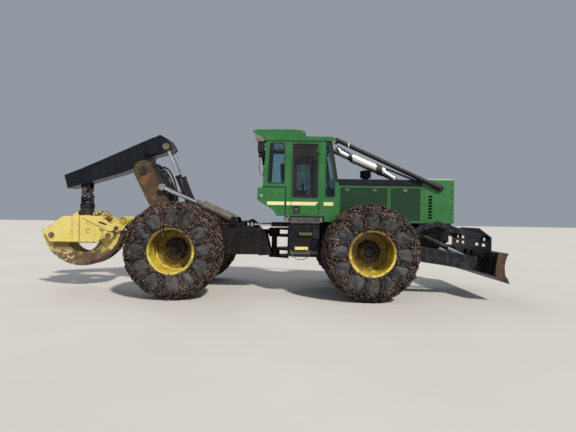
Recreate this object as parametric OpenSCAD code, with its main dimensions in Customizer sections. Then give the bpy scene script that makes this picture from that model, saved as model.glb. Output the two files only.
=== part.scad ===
// Articulated grapple skidder with chained tyres, standing on its wheels.
// X runs forward to the blade, Y to the driver's left, Z up; the ground is Z = 0.

/* [Running gear] */
// Distance between the axle centres
wheelbase = 3740; // [3700:10:3800]
// Distance between the middles of the left and right tyres
track = 2440; // [2430:5:2500]
// Radius of a tyre over its lugs
tyre_r = 893; // [885:1:900]
// Width of a tyre
tyre_w = 760; // [740:5:780]
// Radius of the rim under the bead
rim_r = 410; // [400:5:420]
// How far the chain stands over the lugs
chain_t = 32; // [26:1:36]
// Height of the lugs over the tread's grooves
lug_h = 55; // [40:1:60]
// Cross chains round one tyre
chain_count = 12; // [11:1:12]
// Radius of an axle tube
axle_tube_r = 125; // [115:5:130]
// Depth from the tyre's outer face to the wheel disc
disc_depth = 520; // [490:10:540]

/* [Frames] */
// Half width of both frames
frame_half = 380; // [374:2:384]
// Thickness of the frame side plates
plate_t = 30; // [20:2:34]
// Height of the frames' undersides
frame_low = 775; // [760:5:785]
// Height of the front frame's top rail
frame_top = 1460; // [1440:5:1470]
// Height of the decks that the steering cylinders pass over
deck_z = 1345; // [1335:1:1348]
// Front end of the front frame
nose_x = 3700; // [3680:5:3705]
// Rear end of the rear frame
tail_x = -2440; // [-2460:5:-2420]

/* [Cab and hood] */
// Width of the cab
cab_w = 1560; // [1540:10:1580]
// Thickness of the cab walls and doors
cab_t = 50; // [40:2:56]
// Underside of the roof
eaves_z = 3130; // [3120:5:3150]
// Thickness of the roof slab
roof_t = 85; // [75:5:95]
// Width of the hood
hood_w = 1240; // [1220:10:1250]
// Height of the hood's top
hood_z = 2380; // [2365:5:2390]
// Sheet thickness of the hood and radiator housing
sheet_t = 24; // [16:2:28]
// Louvres in each side of the radiator housing
louvre_count = 8; // [6:1:9]
// Spacing of the bars in the doors' guard nets
guard_pitch = 50; // [45:1:60]

/* [Blade] */
// Width of the blade
blade_w = 2700; // [2640:20:2760]
// Foremost point of the blade's cutting edge
blade_x = 4495; // [4485:5:4510]
// Half spread of the two lift arms, to their inner faces
blade_arm_y = 645; // [640:1:655]

/* [Arch and boom] */
// Half width over the arch arms
arch_half = 320; // [316:1:324]
// Thickness of an arch arm
arch_t = 64; // [60:2:68]
// Width of the boom's box
boom_w = 400; // [380:5:405]
// Half spread of the arch cylinders
arch_cyl_y = 402; // [400:1:406]

/* [Grapple] */
// Outer radius of the closed tongs
tong_r = 880; // [865:5:890]
// Half distance between the tong pivots
tong_pivot = 600; // [590:5:610]
// Half width over the grapple's side plates
grapple_half = 330; // [326:2:340]

/* [Hidden] */
$fn = 48;
gap = 0.4;               // running gap round pins and beside hinge faces
clear = 5;               // gap round the doors
weld = 0.3;              // left between the plates of one weldment
axle_z = tyre_r + chain_t;
front_x = wheelbase / 2;
rear_x = -wheelbase / 2;
wheel_y = track / 2;
chain_half = 1.7;         // half a cross chain's width, in degrees round the axle
hub_y = wheel_y + tyre_w / 2 - disc_depth - 60;
axle_seat = axle_z + axle_tube_r + 10;
hinge_end = 290;         // where each frame's box ends, either side of the frame hinge
hinge_r = 60;
hood_low = 1490;
hood_x = [1332, 3052];
rad_x = 3712;
rad_z = 2399;
cab_y = cab_w / 2;
cab_floor = 1600;
door_x = [333, 918];
door_z = [1623, eaves_z - 25];
grapple_x = -4130;       // centre line of the hanging grapple
tong_top = 186;          // where the tongs' outer arc starts, in degrees round its centre
shift_x = -(blade_x + grapple_x + tong_r * cos(tong_top)) / 2;

// Pin centres in the X-Z plane
arch_pin = [-2150, 1250];
boom_pin = [-2800, 2530];
boom_base = [-1700, 1500];
boom_eye = [-2338, 3050];
arch_base = [-849, 1499];
arch_eye = [-2370, 2175];
blade_pin = [2480, 905];
lift_base = [3050, 1250];
lift_eye = [4130, 760];
link_pin = [grapple_x, 2110];
roll_z = 1930;
spin_z = 1713;
tong_pin_z = 1130;
// Steering cylinders lie level: base on the front frame, eye on the rear one
steer_base = [600, 330];
steer_eye = [-480, 330];
steer_z = 1415;

// Cylinders: barrel length, barrel radius, eye radius, eye width, rod radius, rod length, pin radius
arch_cyl = [873, 75, 70, 80, 38, 1000, 30];
boom_cyl = [1014, 62, 68, 84, 32, 1140, 30];
lift_cyl = [640, 55, 60, 90, 30, 900, 30];
steer_cyl = [660, 45, 50, 80, 25, 730, 28];
boom_cyl_y = arch_half - arch_t - gap - boom_cyl[3] / 2;
lift_cyl_y = 500;

green = [0.10, 0.33, 0.14];
black = [0.07, 0.07, 0.08];
yellow = [0.80, 0.68, 0.15];
rust = [0.42, 0.27, 0.17];
chrome = [0.85, 0.86, 0.88];
rubber = [0.13, 0.13, 0.13];
glass = [0.35, 0.45, 0.50, 0.4];

// Small tools shared by the pieces

function arc(c, r, a0, a1, n) = [for (i = [0:n]) let (a = a0 + (a1 - a0) * i / n) c + r * [cos(a), sin(a)]];
function heading(a, b) = atan2(b[1] - a[1], b[0] - a[0]);
function unit(v) = v / norm(v);
function left_of(v) = [-v[1], v[0]];

// Moves each edge of an outline, drawn anticlockwise, inwards by t
function inset(p, t) = [for (i = [0:len(p) - 1])
    let (n = left_of(unit(p[i] - p[(i + len(p) - 1) % len(p)])), m = left_of(unit(p[(i + 1) % len(p)] - p[i])))
    p[i] + t * (n + m) / (1 + n * m)];

// A flat outline in the X-Z plane, given thickness from y0 to y1
module slab(y0, y1) { translate([0, y1, 0]) rotate([90, 0, 0]) linear_extrude(y1 - y0) children(); }

// Both hands of something drawn on the left side
module both() {
    children();
    mirror([0, 1, 0]) children();
}

// A round bar along Y through the X-Z point p
module pin(p, r, y0, y1) { translate([p[0], y1, p[1]]) rotate([90, 0, 0]) cylinder(r = r, h = y1 - y0); }

// A plate outline between two round ends, tangent to both
module strap(a, b, ra, rb) {
    h = heading(a, b);
    w = acos((ra - rb) / norm(b - a));
    translate(a) circle(ra);
    translate(b) circle(rb);
    polygon([a + ra * [cos(h + w), sin(h + w)], b + rb * [cos(h + w), sin(h + w)],
        b + rb * [cos(h - w), sin(h - w)], a + ra * [cos(h - w), sin(h - w)]]);
}

// Puts a piece drawn along +X at the X-Z point p, turned to face q, at height y across the machine
module aim(p, q, y) { translate([p[0], y, p[1]]) rotate([0, -heading(p, q), 0]) children(); }

// Hydraulic barrel lying along +X from its base pin: eye, neck, tube and gland round the rod's bore
module barrel(c) {
    tube = c[2] * 1.15;
    difference() {
        union() {
            rotate([90, 0, 0]) cylinder(r = c[2], h = c[3], center = true);
            translate([c[2] * 0.5, 0, 0]) rotate([0, 90, 0]) cylinder(r = c[3] / 2 - 1, h = c[2]);
            translate([tube, 0, 0]) rotate([0, 90, 0]) cylinder(r = c[1], h = c[0] - tube);
        }
        rotate([90, 0, 0]) cylinder(r = c[6] + gap, h = c[3] + 2, center = true);
        translate([tube + c[1] * 0.5, 0, 0]) rotate([0, 90, 0]) cylinder(r = c[4] + gap, h = c[0]);
    }
}

// Rod along +X whose eye, with its pin's ends flush, is at x = 0 and whose tail reaches back
module rod(c) {
    rotate([90, 0, 0]) cylinder(r = c[2], h = c[3], center = true);
    translate([-c[5], 0, 0]) rotate([0, 90, 0]) cylinder(r = c[4], h = c[5]);
}

// Wheels

// Tyre, lugs and chain net are one skin of flat faces. Round the wheel each pitch has these columns, [degrees, kind]:
// the cross chain's two edges, a groove, the lug between two cross chains and a groove again
tyre_columns = [[-chain_half, 2], [chain_half, 2], [7, 0], [15, 1], [23, 0]];

// Points of one column, [radius, distance from the wheel's middle plane], from the outer bead round to the inner one
function tyre_half(kind) = let (w = tyre_w / 2, out = [0, 26, 40][kind], up = [0, lug_h, lug_h + chain_t][kind])
    [[(rim_r + gap) / cos(4), w * 0.72], [rim_r + 60, w * 0.86], [rim_r + 115, w - 36 + out * 0.7],
        [rim_r + 240, w - 26 + out], [tyre_r - lug_h - 60 + up * 0.6, w - 50 + out],
        [(tyre_r - lug_h + up) / cos(chain_half), w - 135 + out]];
function tyre_column(kind) = let (half = tyre_half(kind))
    concat(half, [for (i = [len(half) - 1:-1:0]) [half[i][0], -half[i][1]]]);

module tyre_body() {
    rings = [for (i = [0:chain_count - 1], c = tyre_columns) [i * 360 / chain_count + c[0], tyre_column(c[1])]];
    rows = len(rings[0][1]);
    total = len(rings) * rows;
    points = [for (g = rings, p = g[1]) [p[0] * sin(g[0]), p[1], p[0] * cos(g[0])]];
    faces = [for (j = [0:len(rings) - 1], k = [0:rows - 1], half = [0, 1])
        let (a = j * rows + k, b = j * rows + (k + 1) % rows, c = (a + rows) % total, d = (b + rows) % total)
            half == 0 ? [a, c, b] : [b, c, d]];
    polyhedron(points, faces);
}

// Rim with its deep-set disc; +Y points out of the wheel
module rim_body() {
    w = tyre_w * 0.45;
    y = tyre_w / 2 - disc_depth;
    in_r = rim_r - 16;
    difference() {
        rotate([-90, 0, 0]) rotate_extrude() polygon([[in_r, -w], [rim_r + 32, -w], [rim_r + 32, -w + 14],
            [rim_r, -w + 22], [rim_r, w - 22], [rim_r + 32, w - 14], [rim_r + 32, w], [in_r, w], [in_r, y + 90],
            [rim_r - 60, y + 22], [230, y + 22], [205, y + 120], [120, y + 150], [0, y + 150], [0, y - 60],
            [190, y - 60], [190, y], [rim_r - 60, y], [in_r, y + 60]]);
        translate([0, y - 61, 0]) rotate([-90, 0, 0]) cylinder(r = 70, h = 121);
    }
}

module wheel(x, side) {
    translate([x, side * wheel_y, axle_z]) {
        if (side > 0) children();
        else mirror([0, 1, 0]) children();
    }
}

module tyre(x, side) { color(rubber) wheel(x, side) tyre_body(); }
module rim(x, side) { color(yellow) wheel(x, side) rim_body(); }

// Axle housing: banjo, tapered tubes, spring-less seats and the spindles that carry the hubs
module axle(x) {
    color(black) translate([x, 0, axle_z]) {
        sphere(r = 225);
        rotate([90, 0, 0]) cylinder(r = axle_tube_r, h = 2 * hub_y - 60, center = true);
        both() translate([-100, frame_half - 60, 0]) cube([200, 80, axle_seat - axle_z]);
        both() rotate([-90, 0, 0]) {
            translate([0, 0, 120]) cylinder(r1 = 200, r2 = axle_tube_r, h = 200);
            translate([0, 0, hub_y - 90]) cylinder(r = 175, h = 90 - gap);
            translate([0, 0, hub_y - 10]) cylinder(r = 69.9, h = 120);
        }
    }
}

// Frames

// Ears of the frame hinge: [bottom, thickness] of each, reaching back to a frame's end wall
module hinge_ears(levels, bore) {
    for (z = levels) translate([0, 0, z[0]]) linear_extrude(z[1]) difference() {
        union() {
            circle(2 * hinge_r);
            polygon([[0, -2 * hinge_r], [hinge_end - weld, -frame_half + 60],
                [hinge_end - weld, frame_half - 60], [0, 2 * hinge_r]]);
        }
        if (bore > 0) circle(bore);
    }
}

// Cheeks above and below a steering cylinder's eye and the web behind them, on the side away from the cylinder
module steer_cheeks(p, dir, reach, web) {
    half = steer_cyl[3] / 2 + gap;
    wide = steer_cyl[2] + 5;
    for (z = [[deck_z + weld, steer_z - half], [steer_z + half, steer_z + half + 28]])
        translate([p[0], p[1], z[0]]) linear_extrude(z[1] - z[0]) {
            circle(wide);
            translate([dir > 0 ? 0 : weld - reach, -wide]) square([reach - weld, 2 * wide]);
        }
    translate([p[0] + (dir > 0 ? reach : -reach - web), p[1] - wide, deck_z + weld])
        cube([web, 2 * wide, steer_z + half + 28 - deck_z - weld]);
}

module front_chassis() {
    in_y = frame_half - plate_t - weld;
    out_y = frame_half + weld;
    wall_x = hinge_end + 30;
    kick_x = 780;
    color(black) {
        both() slab(frame_half - plate_t, frame_half) polygon([[hinge_end, frame_low],
            [front_x - 370, frame_low], [front_x - 230, axle_seat], [front_x + 230, axle_seat],
            [front_x + 370, frame_low], [3300, frame_low + 60], [nose_x, frame_low + 330], [nose_x, frame_top],
            [820, frame_top], [kick_x, deck_z], [hinge_end, deck_z]]);
        // End wall, belly, deck and cross members, between the side plates
        translate([hinge_end, -in_y, 700]) cube([30, 2 * in_y, deck_z - 700]);
        translate([wall_x + weld, -in_y, frame_low]) cube([front_x - 370 - wall_x - weld, 2 * in_y, 20]);
        translate([wall_x + weld, -in_y, deck_z - 20]) cube([kick_x - wall_x - 2 * weld, 2 * in_y, 20]);
        translate([kick_x, -in_y, deck_z - 20]) cube([30, 2 * in_y, frame_top - deck_z + 20]);
        translate([1130, -in_y, frame_top - 120]) cube([120, 2 * in_y, 120]);
        translate([2650, -in_y, frame_low + 70]) cube([650, 2 * in_y, 20]);
        translate([nose_x - 30, -in_y, frame_low + 330]) cube([30, 2 * in_y, frame_top - frame_low - 330]);
        hinge_ears([[700, 50], [861, 50], [1150, 50], [1301, 40]], 0);
        translate([0, 0, 700]) cylinder(r = hinge_r, h = 641);
        both() steer_cheeks(steer_base, 1, 70, kick_x - steer_base[0] - 70 - weld);
        both() translate([steer_base[0], steer_base[1], deck_z + weld]) cylinder(r = steer_cyl[6], h = 130);
        // Pedestal and outriggers under the cab, outriggers under the hood
        translate([wall_x + 10, -60, deck_z + weld]) cube([100, 120, cab_floor - deck_z - weld]);
        both() translate([1100, out_y, 1380]) cube([150, 319 - weld, 1493 - 1380]);
        both() for (x = [1480, 2330, 3000, 3560])
            translate([x, out_y, 1400]) cube([100, hood_w / 2 - 10 - out_y, hood_low - 1400]);
        // Trunnions of the blade arms and clevises of the lift cylinders
        both() {
            pin(blade_pin, 95, out_y, blade_arm_y - gap);
            pin(blade_pin, 45, out_y, blade_arm_y + 61);
            pin(lift_base, lift_cyl[6], out_y, lift_cyl_y + lift_cyl[3] / 2 + 30);
            pin(lift_base, lift_cyl[2], out_y, lift_cyl_y - lift_cyl[3] / 2 - gap);
            slab(lift_cyl_y + lift_cyl[3] / 2 + gap, lift_cyl_y + lift_cyl[3] / 2 + 30)
                strap(lift_base, [lift_base[0], 1430], lift_cyl[2], 50);
        }
        // Tow lug on the nose
        difference() {
            translate([nose_x + weld, -30, 1150]) cube([90, 60, 150]);
            pin([nose_x + 45, 1225], 22, -31, 31);
        }
        // Brackets that carry the side boxes
        both() for (x = [420, 780]) translate([x, out_y, 1000]) cube([60, 180 - weld, 120]);
    }
}

module engine() {
    color(black) {
        translate([1560, -300, 1190]) cube([940, 600, 900]);
        for (x = [1700, 2300])
            translate([x, -frame_half + plate_t, 1200]) cube([80, 2 * (frame_half - plate_t), 80]);
    }
}

module rear_chassis() {
    in_y = frame_half - plate_t - weld;
    wall_x = -hinge_end - 30;
    rail_z = 1420;
    color(black) {
        // Side plates, each with the arch pin's boss and a long pocket towards the hinge
        both() difference() {
            union() {
                slab(frame_half - plate_t, frame_half) polygon([[-hinge_end, frame_low], [-hinge_end, deck_z],
                    [-700, deck_z], [-760, rail_z], [-1480, rail_z], [-1600, 1380], [-2000, rail_z], [tail_x, 1340],
                    [tail_x, 880], [rear_x - 370, frame_low], [rear_x - 230, axle_seat], [rear_x + 230, axle_seat],
                    [rear_x + 370, frame_low]]);
                pin(arch_pin, 120, arch_half + gap, frame_half + 15);
            }
            pin(arch_pin, 50 + weld, arch_half - 1, frame_half + 16);
            translate([-820, frame_half - 12, 1092]) cube([450, 13, 145]);
        }
        // Sloped hose guard behind the hinge
        slab(-85, 85) polygon([[-560, deck_z + weld], [-272 - 50, deck_z + weld], [-272 - 50, 1417], [-478, 1530],
            [-560, 1500]]);
        pin(arch_pin, 50, -frame_half - 15, frame_half + 15);
        // End wall, belly, decks and tail plate, between the side plates
        translate([wall_x, -in_y, 751]) cube([30, 2 * in_y, deck_z - 751]);
        translate([rear_x + 370, -in_y, frame_low]) cube([wall_x - weld - rear_x - 370, 2 * in_y, 20]);
        translate([-720, -in_y, deck_z - 20]) cube([wall_x - weld + 720, 2 * in_y, 20]);
        translate([-1470, -in_y, rail_z - 20]) cube([720, 2 * in_y, 20]);
        translate([tail_x, -in_y, 880]) cube([30, 2 * in_y, 455]);
        mirror([1, 0, 0]) hinge_ears([[751, 109], [1201, 99]], hinge_r + gap);
        both() steer_cheeks(steer_eye, -1, 150, 70);
        // Brackets of the arch cylinders, on the side plates' top edges
        both() {
            low = rail_z + weld;
            inner = [arch_cyl_y - 71, arch_cyl_y - 40 - gap];
            outer = [arch_cyl_y + 40 + gap, arch_cyl_y + 68];
            slab(inner[0], outer[1]) translate([arch_base[0] - 75, low]) square([150, 7]);
            for (y = [inner, outer]) slab(y[0], y[1]) {
                translate(arch_base) circle(arch_cyl[2]);
                translate([arch_base[0] - 75, low]) square([150, arch_base[1] - low]);
            }
            pin(arch_base, arch_cyl[6], inner[0], outer[1]);
        }
        // Drawbar with its pin hole
        difference() {
            translate([tail_x - 160, -90, 890]) cube([160 - weld, 180, 60]);
            translate([tail_x - 95, 0, 880]) cylinder(r = 26, h = 80);
        }
    }
}

// Cab

cab_outline = [[66, cab_floor], [1010, cab_floor], [1042, 1493], [1313, 1493], [1313, 2240], [1165, eaves_z],
    [-163, eaves_z], [-234, 2172], [-335, 2171], [-335, 1915], [-21, 1721]];
cab_inner = inset(cab_outline, cab_t);
// Where the sloping front and rear faces stand at a height
function cab_front(z) = 1313 - (z - 2240) * 148 / (eaves_z - 2240);
function cab_back(z) = -234 + (z - 2172) * 71 / (eaves_z - 2172);
quarter_rear = [[-130, 2261], [214, 2261], [214, eaves_z - 45], [-85, eaves_z - 45]];
quarter_front = [[1046, 1993], [1235, 1993], [1235, 2260], [1118, eaves_z - 102], [1046, eaves_z - 102]];
window_x = [384, 882];
window_z = [1984, eaves_z - 68];
door_window = [[window_x[0], window_z[0]], [window_x[1], window_z[0]], [window_x[1], window_z[1]],
    [window_x[0], window_z[1]]];
shield_z = [2400, eaves_z - 80];
back_z = [2270, eaves_z - 80];
hinge_z = [1760, eaves_z - 270];      // undersides of the doors' hinge knuckles
knuckle = 50;
pane_t = 8;

module cab() {
    color(green) {
        difference() {
            slab(-cab_y, cab_y) polygon(cab_outline);
            slab(-cab_y + cab_t, cab_y - cab_t) polygon([[cab_inner[0][0], 1650], [1263, 1650], [1263, cab_inner[4][1]],
                cab_inner[5] + [0, cab_t + 2], cab_inner[6] + [0, cab_t + 2], cab_inner[7], cab_inner[8],
                cab_inner[9], cab_inner[10]]);
            both() slab(cab_y - cab_t - 1, cab_y + 1) {
                polygon(quarter_rear);
                polygon(quarter_front);
                translate([door_x[0], door_z[0]]) square([door_x[1] - door_x[0], door_z[1] - door_z[0]]);
            }
            slab(-cab_y + 90, cab_y - 90) {
                translate([1000, shield_z[0]]) square([400, shield_z[1] - shield_z[0]]);
                translate([-300, back_z[0]]) square([300, back_z[1] - back_z[0]]);
            }
        }
        // Lower knuckles of the door hinges, each with the pin that the door drops on
        both() for (z = hinge_z) {
            translate([door_x[1], cab_y + 15, z]) cylinder(r = 14, h = knuckle);
            translate([door_x[1], cab_y + 15, z]) cylinder(r = 6, h = knuckle + 40);
            translate([door_x[1], cab_y - 1, z]) cube([40, 12, knuckle]);
        }
    }
}

module cab_glass() {
    color(glass) {
        both() slab(cab_y - cab_t / 2 - pane_t / 2, cab_y - cab_t / 2 + pane_t / 2) {
            polygon(quarter_rear);
            polygon(quarter_front);
        }
        slab(-cab_y + 90, cab_y - 90) {
            polygon([[cab_front(shield_z[0]) - 30, shield_z[0]], [cab_front(shield_z[0]) - 22, shield_z[0]],
                [cab_front(shield_z[1]) - 22, shield_z[1]], [cab_front(shield_z[1]) - 30, shield_z[1]]]);
            polygon([[cab_back(back_z[0]) + 22, back_z[0]], [cab_back(back_z[0]) + 30, back_z[0]],
                [cab_back(back_z[1]) + 30, back_z[1]], [cab_back(back_z[1]) + 22, back_z[1]]]);
        }
    }
}

module cab_roof() {
    color(green) {
        slab(-cab_y - 20, cab_y + 20) polygon([[-200, eaves_z], [1244, eaves_z], [1244, eaves_z + roof_t - 30],
            [1160, eaves_z + roof_t], [-200, eaves_z + roof_t]]);
        slab(-cab_y + 10, cab_y - 10) polygon([[-200, eaves_z + roof_t - 5], [-200, eaves_z + 20], [-445, eaves_z + 185],
            [-437, eaves_z + 215], [333, eaves_z + 233], [600, eaves_z + 206], [657, eaves_z + roof_t - 5]]);
    }
}

// One door, drawn on the left; its hinge line is at the front edge
module door() {
    difference() {
        union() {
            slab(cab_y - cab_t, cab_y) translate([door_x[0] + clear, door_z[0] + clear])
                square([door_x[1] - door_x[0] - 2 * clear, door_z[1] - door_z[0] - 2 * clear]);
            for (z = hinge_z) {
                translate([door_x[1], cab_y + 15, z + knuckle + 1]) cylinder(r = 14, h = knuckle);
                translate([door_x[1] - 60, cab_y - 1, z + knuckle + 1]) cube([60, 12, knuckle]);
            }
        }
        slab(cab_y - cab_t - 1, cab_y + 1) polygon(door_window);
        for (z = hinge_z) translate([door_x[1], cab_y + 15, z + knuckle]) cylinder(r = 6 + gap, h = knuckle + 2);
    }
}

module door_pane() {
    slab(cab_y - cab_t / 2 - pane_t / 2, cab_y - cab_t / 2 + pane_t / 2) polygon(door_window);
}

// Guard net in front of a door's glass: a plate frame round square holes, deepest at the top
module door_guard() {
    net = [7 * guard_pitch, floor((window_z[1] - window_z[0] - 245) / guard_pitch) * guard_pitch];
    bar = 12;
    corner = [(window_x[0] + window_x[1] - net[0]) / 2, window_z[0] + 50];
    slab(cab_y - 16, cab_y - 6) difference() {
        translate([window_x[0] + weld, window_z[0] + weld])
            square([window_x[1] - window_x[0] - 2 * weld, window_z[1] - window_z[0] - 2 * weld]);
        for (x = [0:guard_pitch:net[0] - 1], z = [0:guard_pitch:net[1] - 1])
            translate(corner + [x, z] + [bar / 2, bar / 2]) square(guard_pitch - bar);
    }
}

// Work lamps: a housing and a round lamp hung below the roof's rear overhang, and a pair at the roof's front edge
module cab_lamps() {
    rear = [-340, cab_y - 190];
    color(black) both() {
        translate([rear[0], rear[1], eaves_z - 230]) cube([130, 170, 200]);
        translate([rear[0] + 20, rear[1] + 30, eaves_z - 31]) cube([60, 110, 36]);
        translate([rear[0] + 79, rear[1] + 30, eaves_z - 31])
            cube([cab_back(eaves_z - 31) - weld - rear[0] - 79, 110, 31 - weld]);
        translate([rear[0] + 100, rear[1] + 85, eaves_z - 285]) rotate([0, -90, 0]) cylinder(r = 55, h = 80);
        translate([rear[0] + 50, rear[1] + 70, eaves_z - 300]) cube([30, 30, 90]);
        translate([1244 + weld, 380, eaves_z + 2]) cube([70, 140, 50]);
    }
}

module seat() {
    color(black) {
        translate([300, -190, 1650]) cube([380, 380, 250]);
        translate([150, -240, 1899]) cube([580, 480, 40]);
    }
}

module seat_cushions() {
    color(black) {
        slab(-250, 250) polygon([[300, 1939.3], [760, 1939.3], [780, 2000], [740, 2070], [340, 2050], [300, 2020]]);
        slab(-235, 235) polygon([[165, 1939.3], [255, 1939.3], [270, 2060], [200, 2760], [130, 2780], [90, 2720]]);
    }
}

module console() {
    color(black) {
        slab(-380, 380) polygon([[1010, 1650], [1260, 1650], [1258, 2180], [1130, 2230], [1030, 2120], [1120, 1900]]);
        both() {
            slab(300, 420) polygon([[180, 1650], [420, 1650], [420, 2060], [700, 2090], [700, 2140], [180, 2160]]);
            translate([600, 360, 2100]) cylinder(r = 16, h = 150);
            translate([600, 360, 2270]) sphere(r = 32);
        }
    }
}

// Hood, radiator and guards

module hood_panels() {
    h = hood_w / 2;
    top = hood_z - 141;
    seam_x = 2369;
    rim_w = 34;
    color(green) difference() {
        translate([hood_x[0], -h, hood_low]) cube([hood_x[1] - hood_x[0], hood_w, top - hood_low]);
        translate([hood_x[0] + sheet_t, -h + sheet_t, hood_low - 1])
            cube([hood_x[1] - hood_x[0], hood_w - 2 * sheet_t, hood_z - hood_low]);
        // Sunk field of each side panel, and the seam between the panels
        both() for (x = [[hood_x[0] + rim_w, seam_x - rim_w], [seam_x + rim_w, hood_x[1] - rim_w]])
            translate([x[0], h - 6, hood_low + rim_w]) cube([x[1] - x[0], 7, top - hood_low - 2 * rim_w]);
        both() translate([seam_x - 4, h - 12, hood_low - 1]) cube([8, 13, top - hood_low + 2]);
    }
}

module hood_cover() {
    h = hood_w / 2;
    color(black) {
        difference() {
            translate([hood_x[0], -h, hood_z - 141]) cube([hood_x[1] - hood_x[0], hood_w, 141]);
            translate([hood_x[0] + sheet_t, -h + sheet_t, hood_z - 142])
                cube([hood_x[1] - hood_x[0], hood_w - 2 * sheet_t, 142 - sheet_t]);
        }
        // Precleaner
        translate([1989, 0, hood_z - 1]) cylinder(r = 75, h = 90);
        translate([1989, 0, hood_z + 80]) cylinder(r = 120, h = 150);
        translate([1989, 0, hood_z + 230]) cylinder(r1 = 120, r2 = 40, h = 24);
    }
}

module radiator_housing() {
    h = hood_w / 2;
    louvre_pitch = 62;
    color(green) difference() {
        slab(-h, h) polygon([[hood_x[1], hood_low], [rad_x, hood_low], [rad_x, rad_z - 30], [rad_x - 30, rad_z],
            [hood_x[1], rad_z]]);
        translate([hood_x[1] - 1, -h + sheet_t, hood_low - 1])
            cube([rad_x - hood_x[1] + 2, hood_w - 2 * sheet_t, rad_z - hood_low + 1 - sheet_t - 12]);
        for (i = [0:louvre_count - 1])
            translate([3186, -h - 1, 1580 + i * louvre_pitch]) cube([70, hood_w + 2, 44]);
    }
}

module grille() {
    h = hood_w / 2 - sheet_t;
    top = rad_z - sheet_t - 12;
    color(black) {
        translate([3420, -h, hood_low + 2]) cube([180, 2 * h, top - hood_low - 2]);
        for (z = [hood_low + 20:60:top - 20]) translate([3599, -h, z]) cube([90, 2 * h, 16]);
        for (y = [-h, -8, h - 16]) translate([3599, y, hood_low + 2]) cube([70, 16, top - hood_low - 2]);
    }
}

module brush_guard() {
    y = hood_w / 2 + 50;
    a = [1268, eaves_z + 45];
    b = [3420, 2207];
    color(black) both() {
        aim(a, b, y) rotate([0, 90, 0]) cylinder(r = 45, h = norm(b - a));
        translate([1244, y - 60, eaves_z + 5]) cube([40, 120, 75]);
        slab(hood_w / 2, y) strap(b - [130, -58], b, 60, 60);
    }
}

module exhaust() {
    y = -250;
    foot = [2550, 2440];
    low = [2330, 2575];
    high = [1640, 2868];
    tip = [1400, 2975];
    color(chrome) {
        translate([foot[0], y, hood_z]) cylinder(r = 50, h = foot[1] - hood_z);
        translate([foot[0], y, foot[1]]) sphere(r = 53);
        aim(foot, low, y) rotate([0, 90, 0]) cylinder(r = 50, h = norm(low - foot));
        aim(low, high, y) rotate([0, 90, 0]) cylinder(r = 100, h = norm(high - low));
        aim(high, tip, y) rotate([0, 90, 0]) cylinder(r = 52, h = norm(tip - high));
        // Clamp bands of the silencer
        for (f = [0.08, 0.86])
            aim(low + f * (high - low), high, y) rotate([0, 90, 0]) cylinder(r = 108, h = 40);
        translate([tip[0], y, tip[1]]) sphere(r = 55);
        aim(tip, [1330, 3090], y) rotate([0, 90, 0]) cylinder(r = 52, h = 135);
    }
}

// Box, steps and platform beside the front frame under each door, with the stirrup that hangs from the box
module side_steps() {
    face = 800;
    box_x = [312, 932];
    stirrup = [556, 940];
    stirrup_r = 216;
    color(black) both() {
        slab(560, face) polygon([[box_x[0], 800], [box_x[0] + 60, 776], [box_x[1], 776], [box_x[1], 1430],
            [box_x[0], 1430]]);
        slab(560, face - 40) translate([box_x[0] + 10, 1429]) square([box_x[1] - box_x[0] - 20, cab_floor - 1429]);
        slab(600, face + 20) polygon([[box_x[0] + 20, 1458], [box_x[1] - 30, 1458], [box_x[1] - 60, 1575],
            [box_x[0] + 20, 1575]]);
        translate([518, face - 1, 1216]) cube([268, 61, 54]);
        translate([432, face - 1, 922]) cube([268, 61, 60]);
        translate([800, face - 1, 1150]) cube([120, 36, 186]);
        // Stirrup: a bent bar on two bolts
        translate([stirrup[0], face + 16, stirrup[1]]) {
            for (x = [-stirrup_r, stirrup_r]) {
                translate([x, 0, 0]) cylinder(r = 9, h = 150);
                translate([x, 12, 140]) rotate([90, 0, 0]) cylinder(r = 22, h = 29);
            }
            intersection() {
                rotate([90, 0, 0]) rotate_extrude() translate([stirrup_r, 0]) circle(r = 9, $fn = 8);
                translate([-2 * stirrup_r, -20, -2 * stirrup_r]) cube([4 * stirrup_r, 40, 2 * stirrup_r + 1]);
            }
        }
    }
}

// Blade

// Back face of the blade, from its foot to its top lip
blade_back = [[blade_x - 284, 508], [blade_x - 233, 785], [blade_x - 205, 948]];
blade_r = 565;
blade_foot = 211.5;
module blade() {
    color(rust) {
        slab(-blade_w / 2, blade_w / 2) polygon(concat(blade_back,
            arc([blade_x - blade_r * cos(blade_foot), 665], blade_r, 150.3, blade_foot, 8)));
        // Upright ribs behind the mouldboard
        both() for (y = [150, 860, 1180]) slab(y, y + 25) polygon([blade_back[0] + [20, 12], blade_back[2] + [20, -12],
            blade_back[2] + [-40, -30], blade_back[0] + [-40, 40]]);
        // Slotted guard over the blade, higher in the middle
        difference() {
            translate([blade_x - 205, 0, 0]) rotate([90, 0, 90]) linear_extrude(30)
                polygon([[-1000, blade_back[2][1] + weld], [1000, blade_back[2][1] + weld], [1000, 1232], [450, 1400],
                    [-450, 1400], [-1000, 1232]]);
            for (y = [-780, -460, 260, 580], z = [1030, 1150])
                translate([blade_x - 210, y, z]) cube([40, 200, 60]);
        }
        both() for (y = [lift_cyl_y - lift_cyl[3] / 2 - gap - 30, lift_cyl_y + lift_cyl[3] / 2 + gap])
            slab(y, y + 30) polygon(concat(arc(lift_eye, 60, 90, 270, 8),
                [[blade_x - 251, 690], blade_back[1] - [weld + 0.1, 0], [blade_x - 225.8, 830]]));
    }
}

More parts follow.
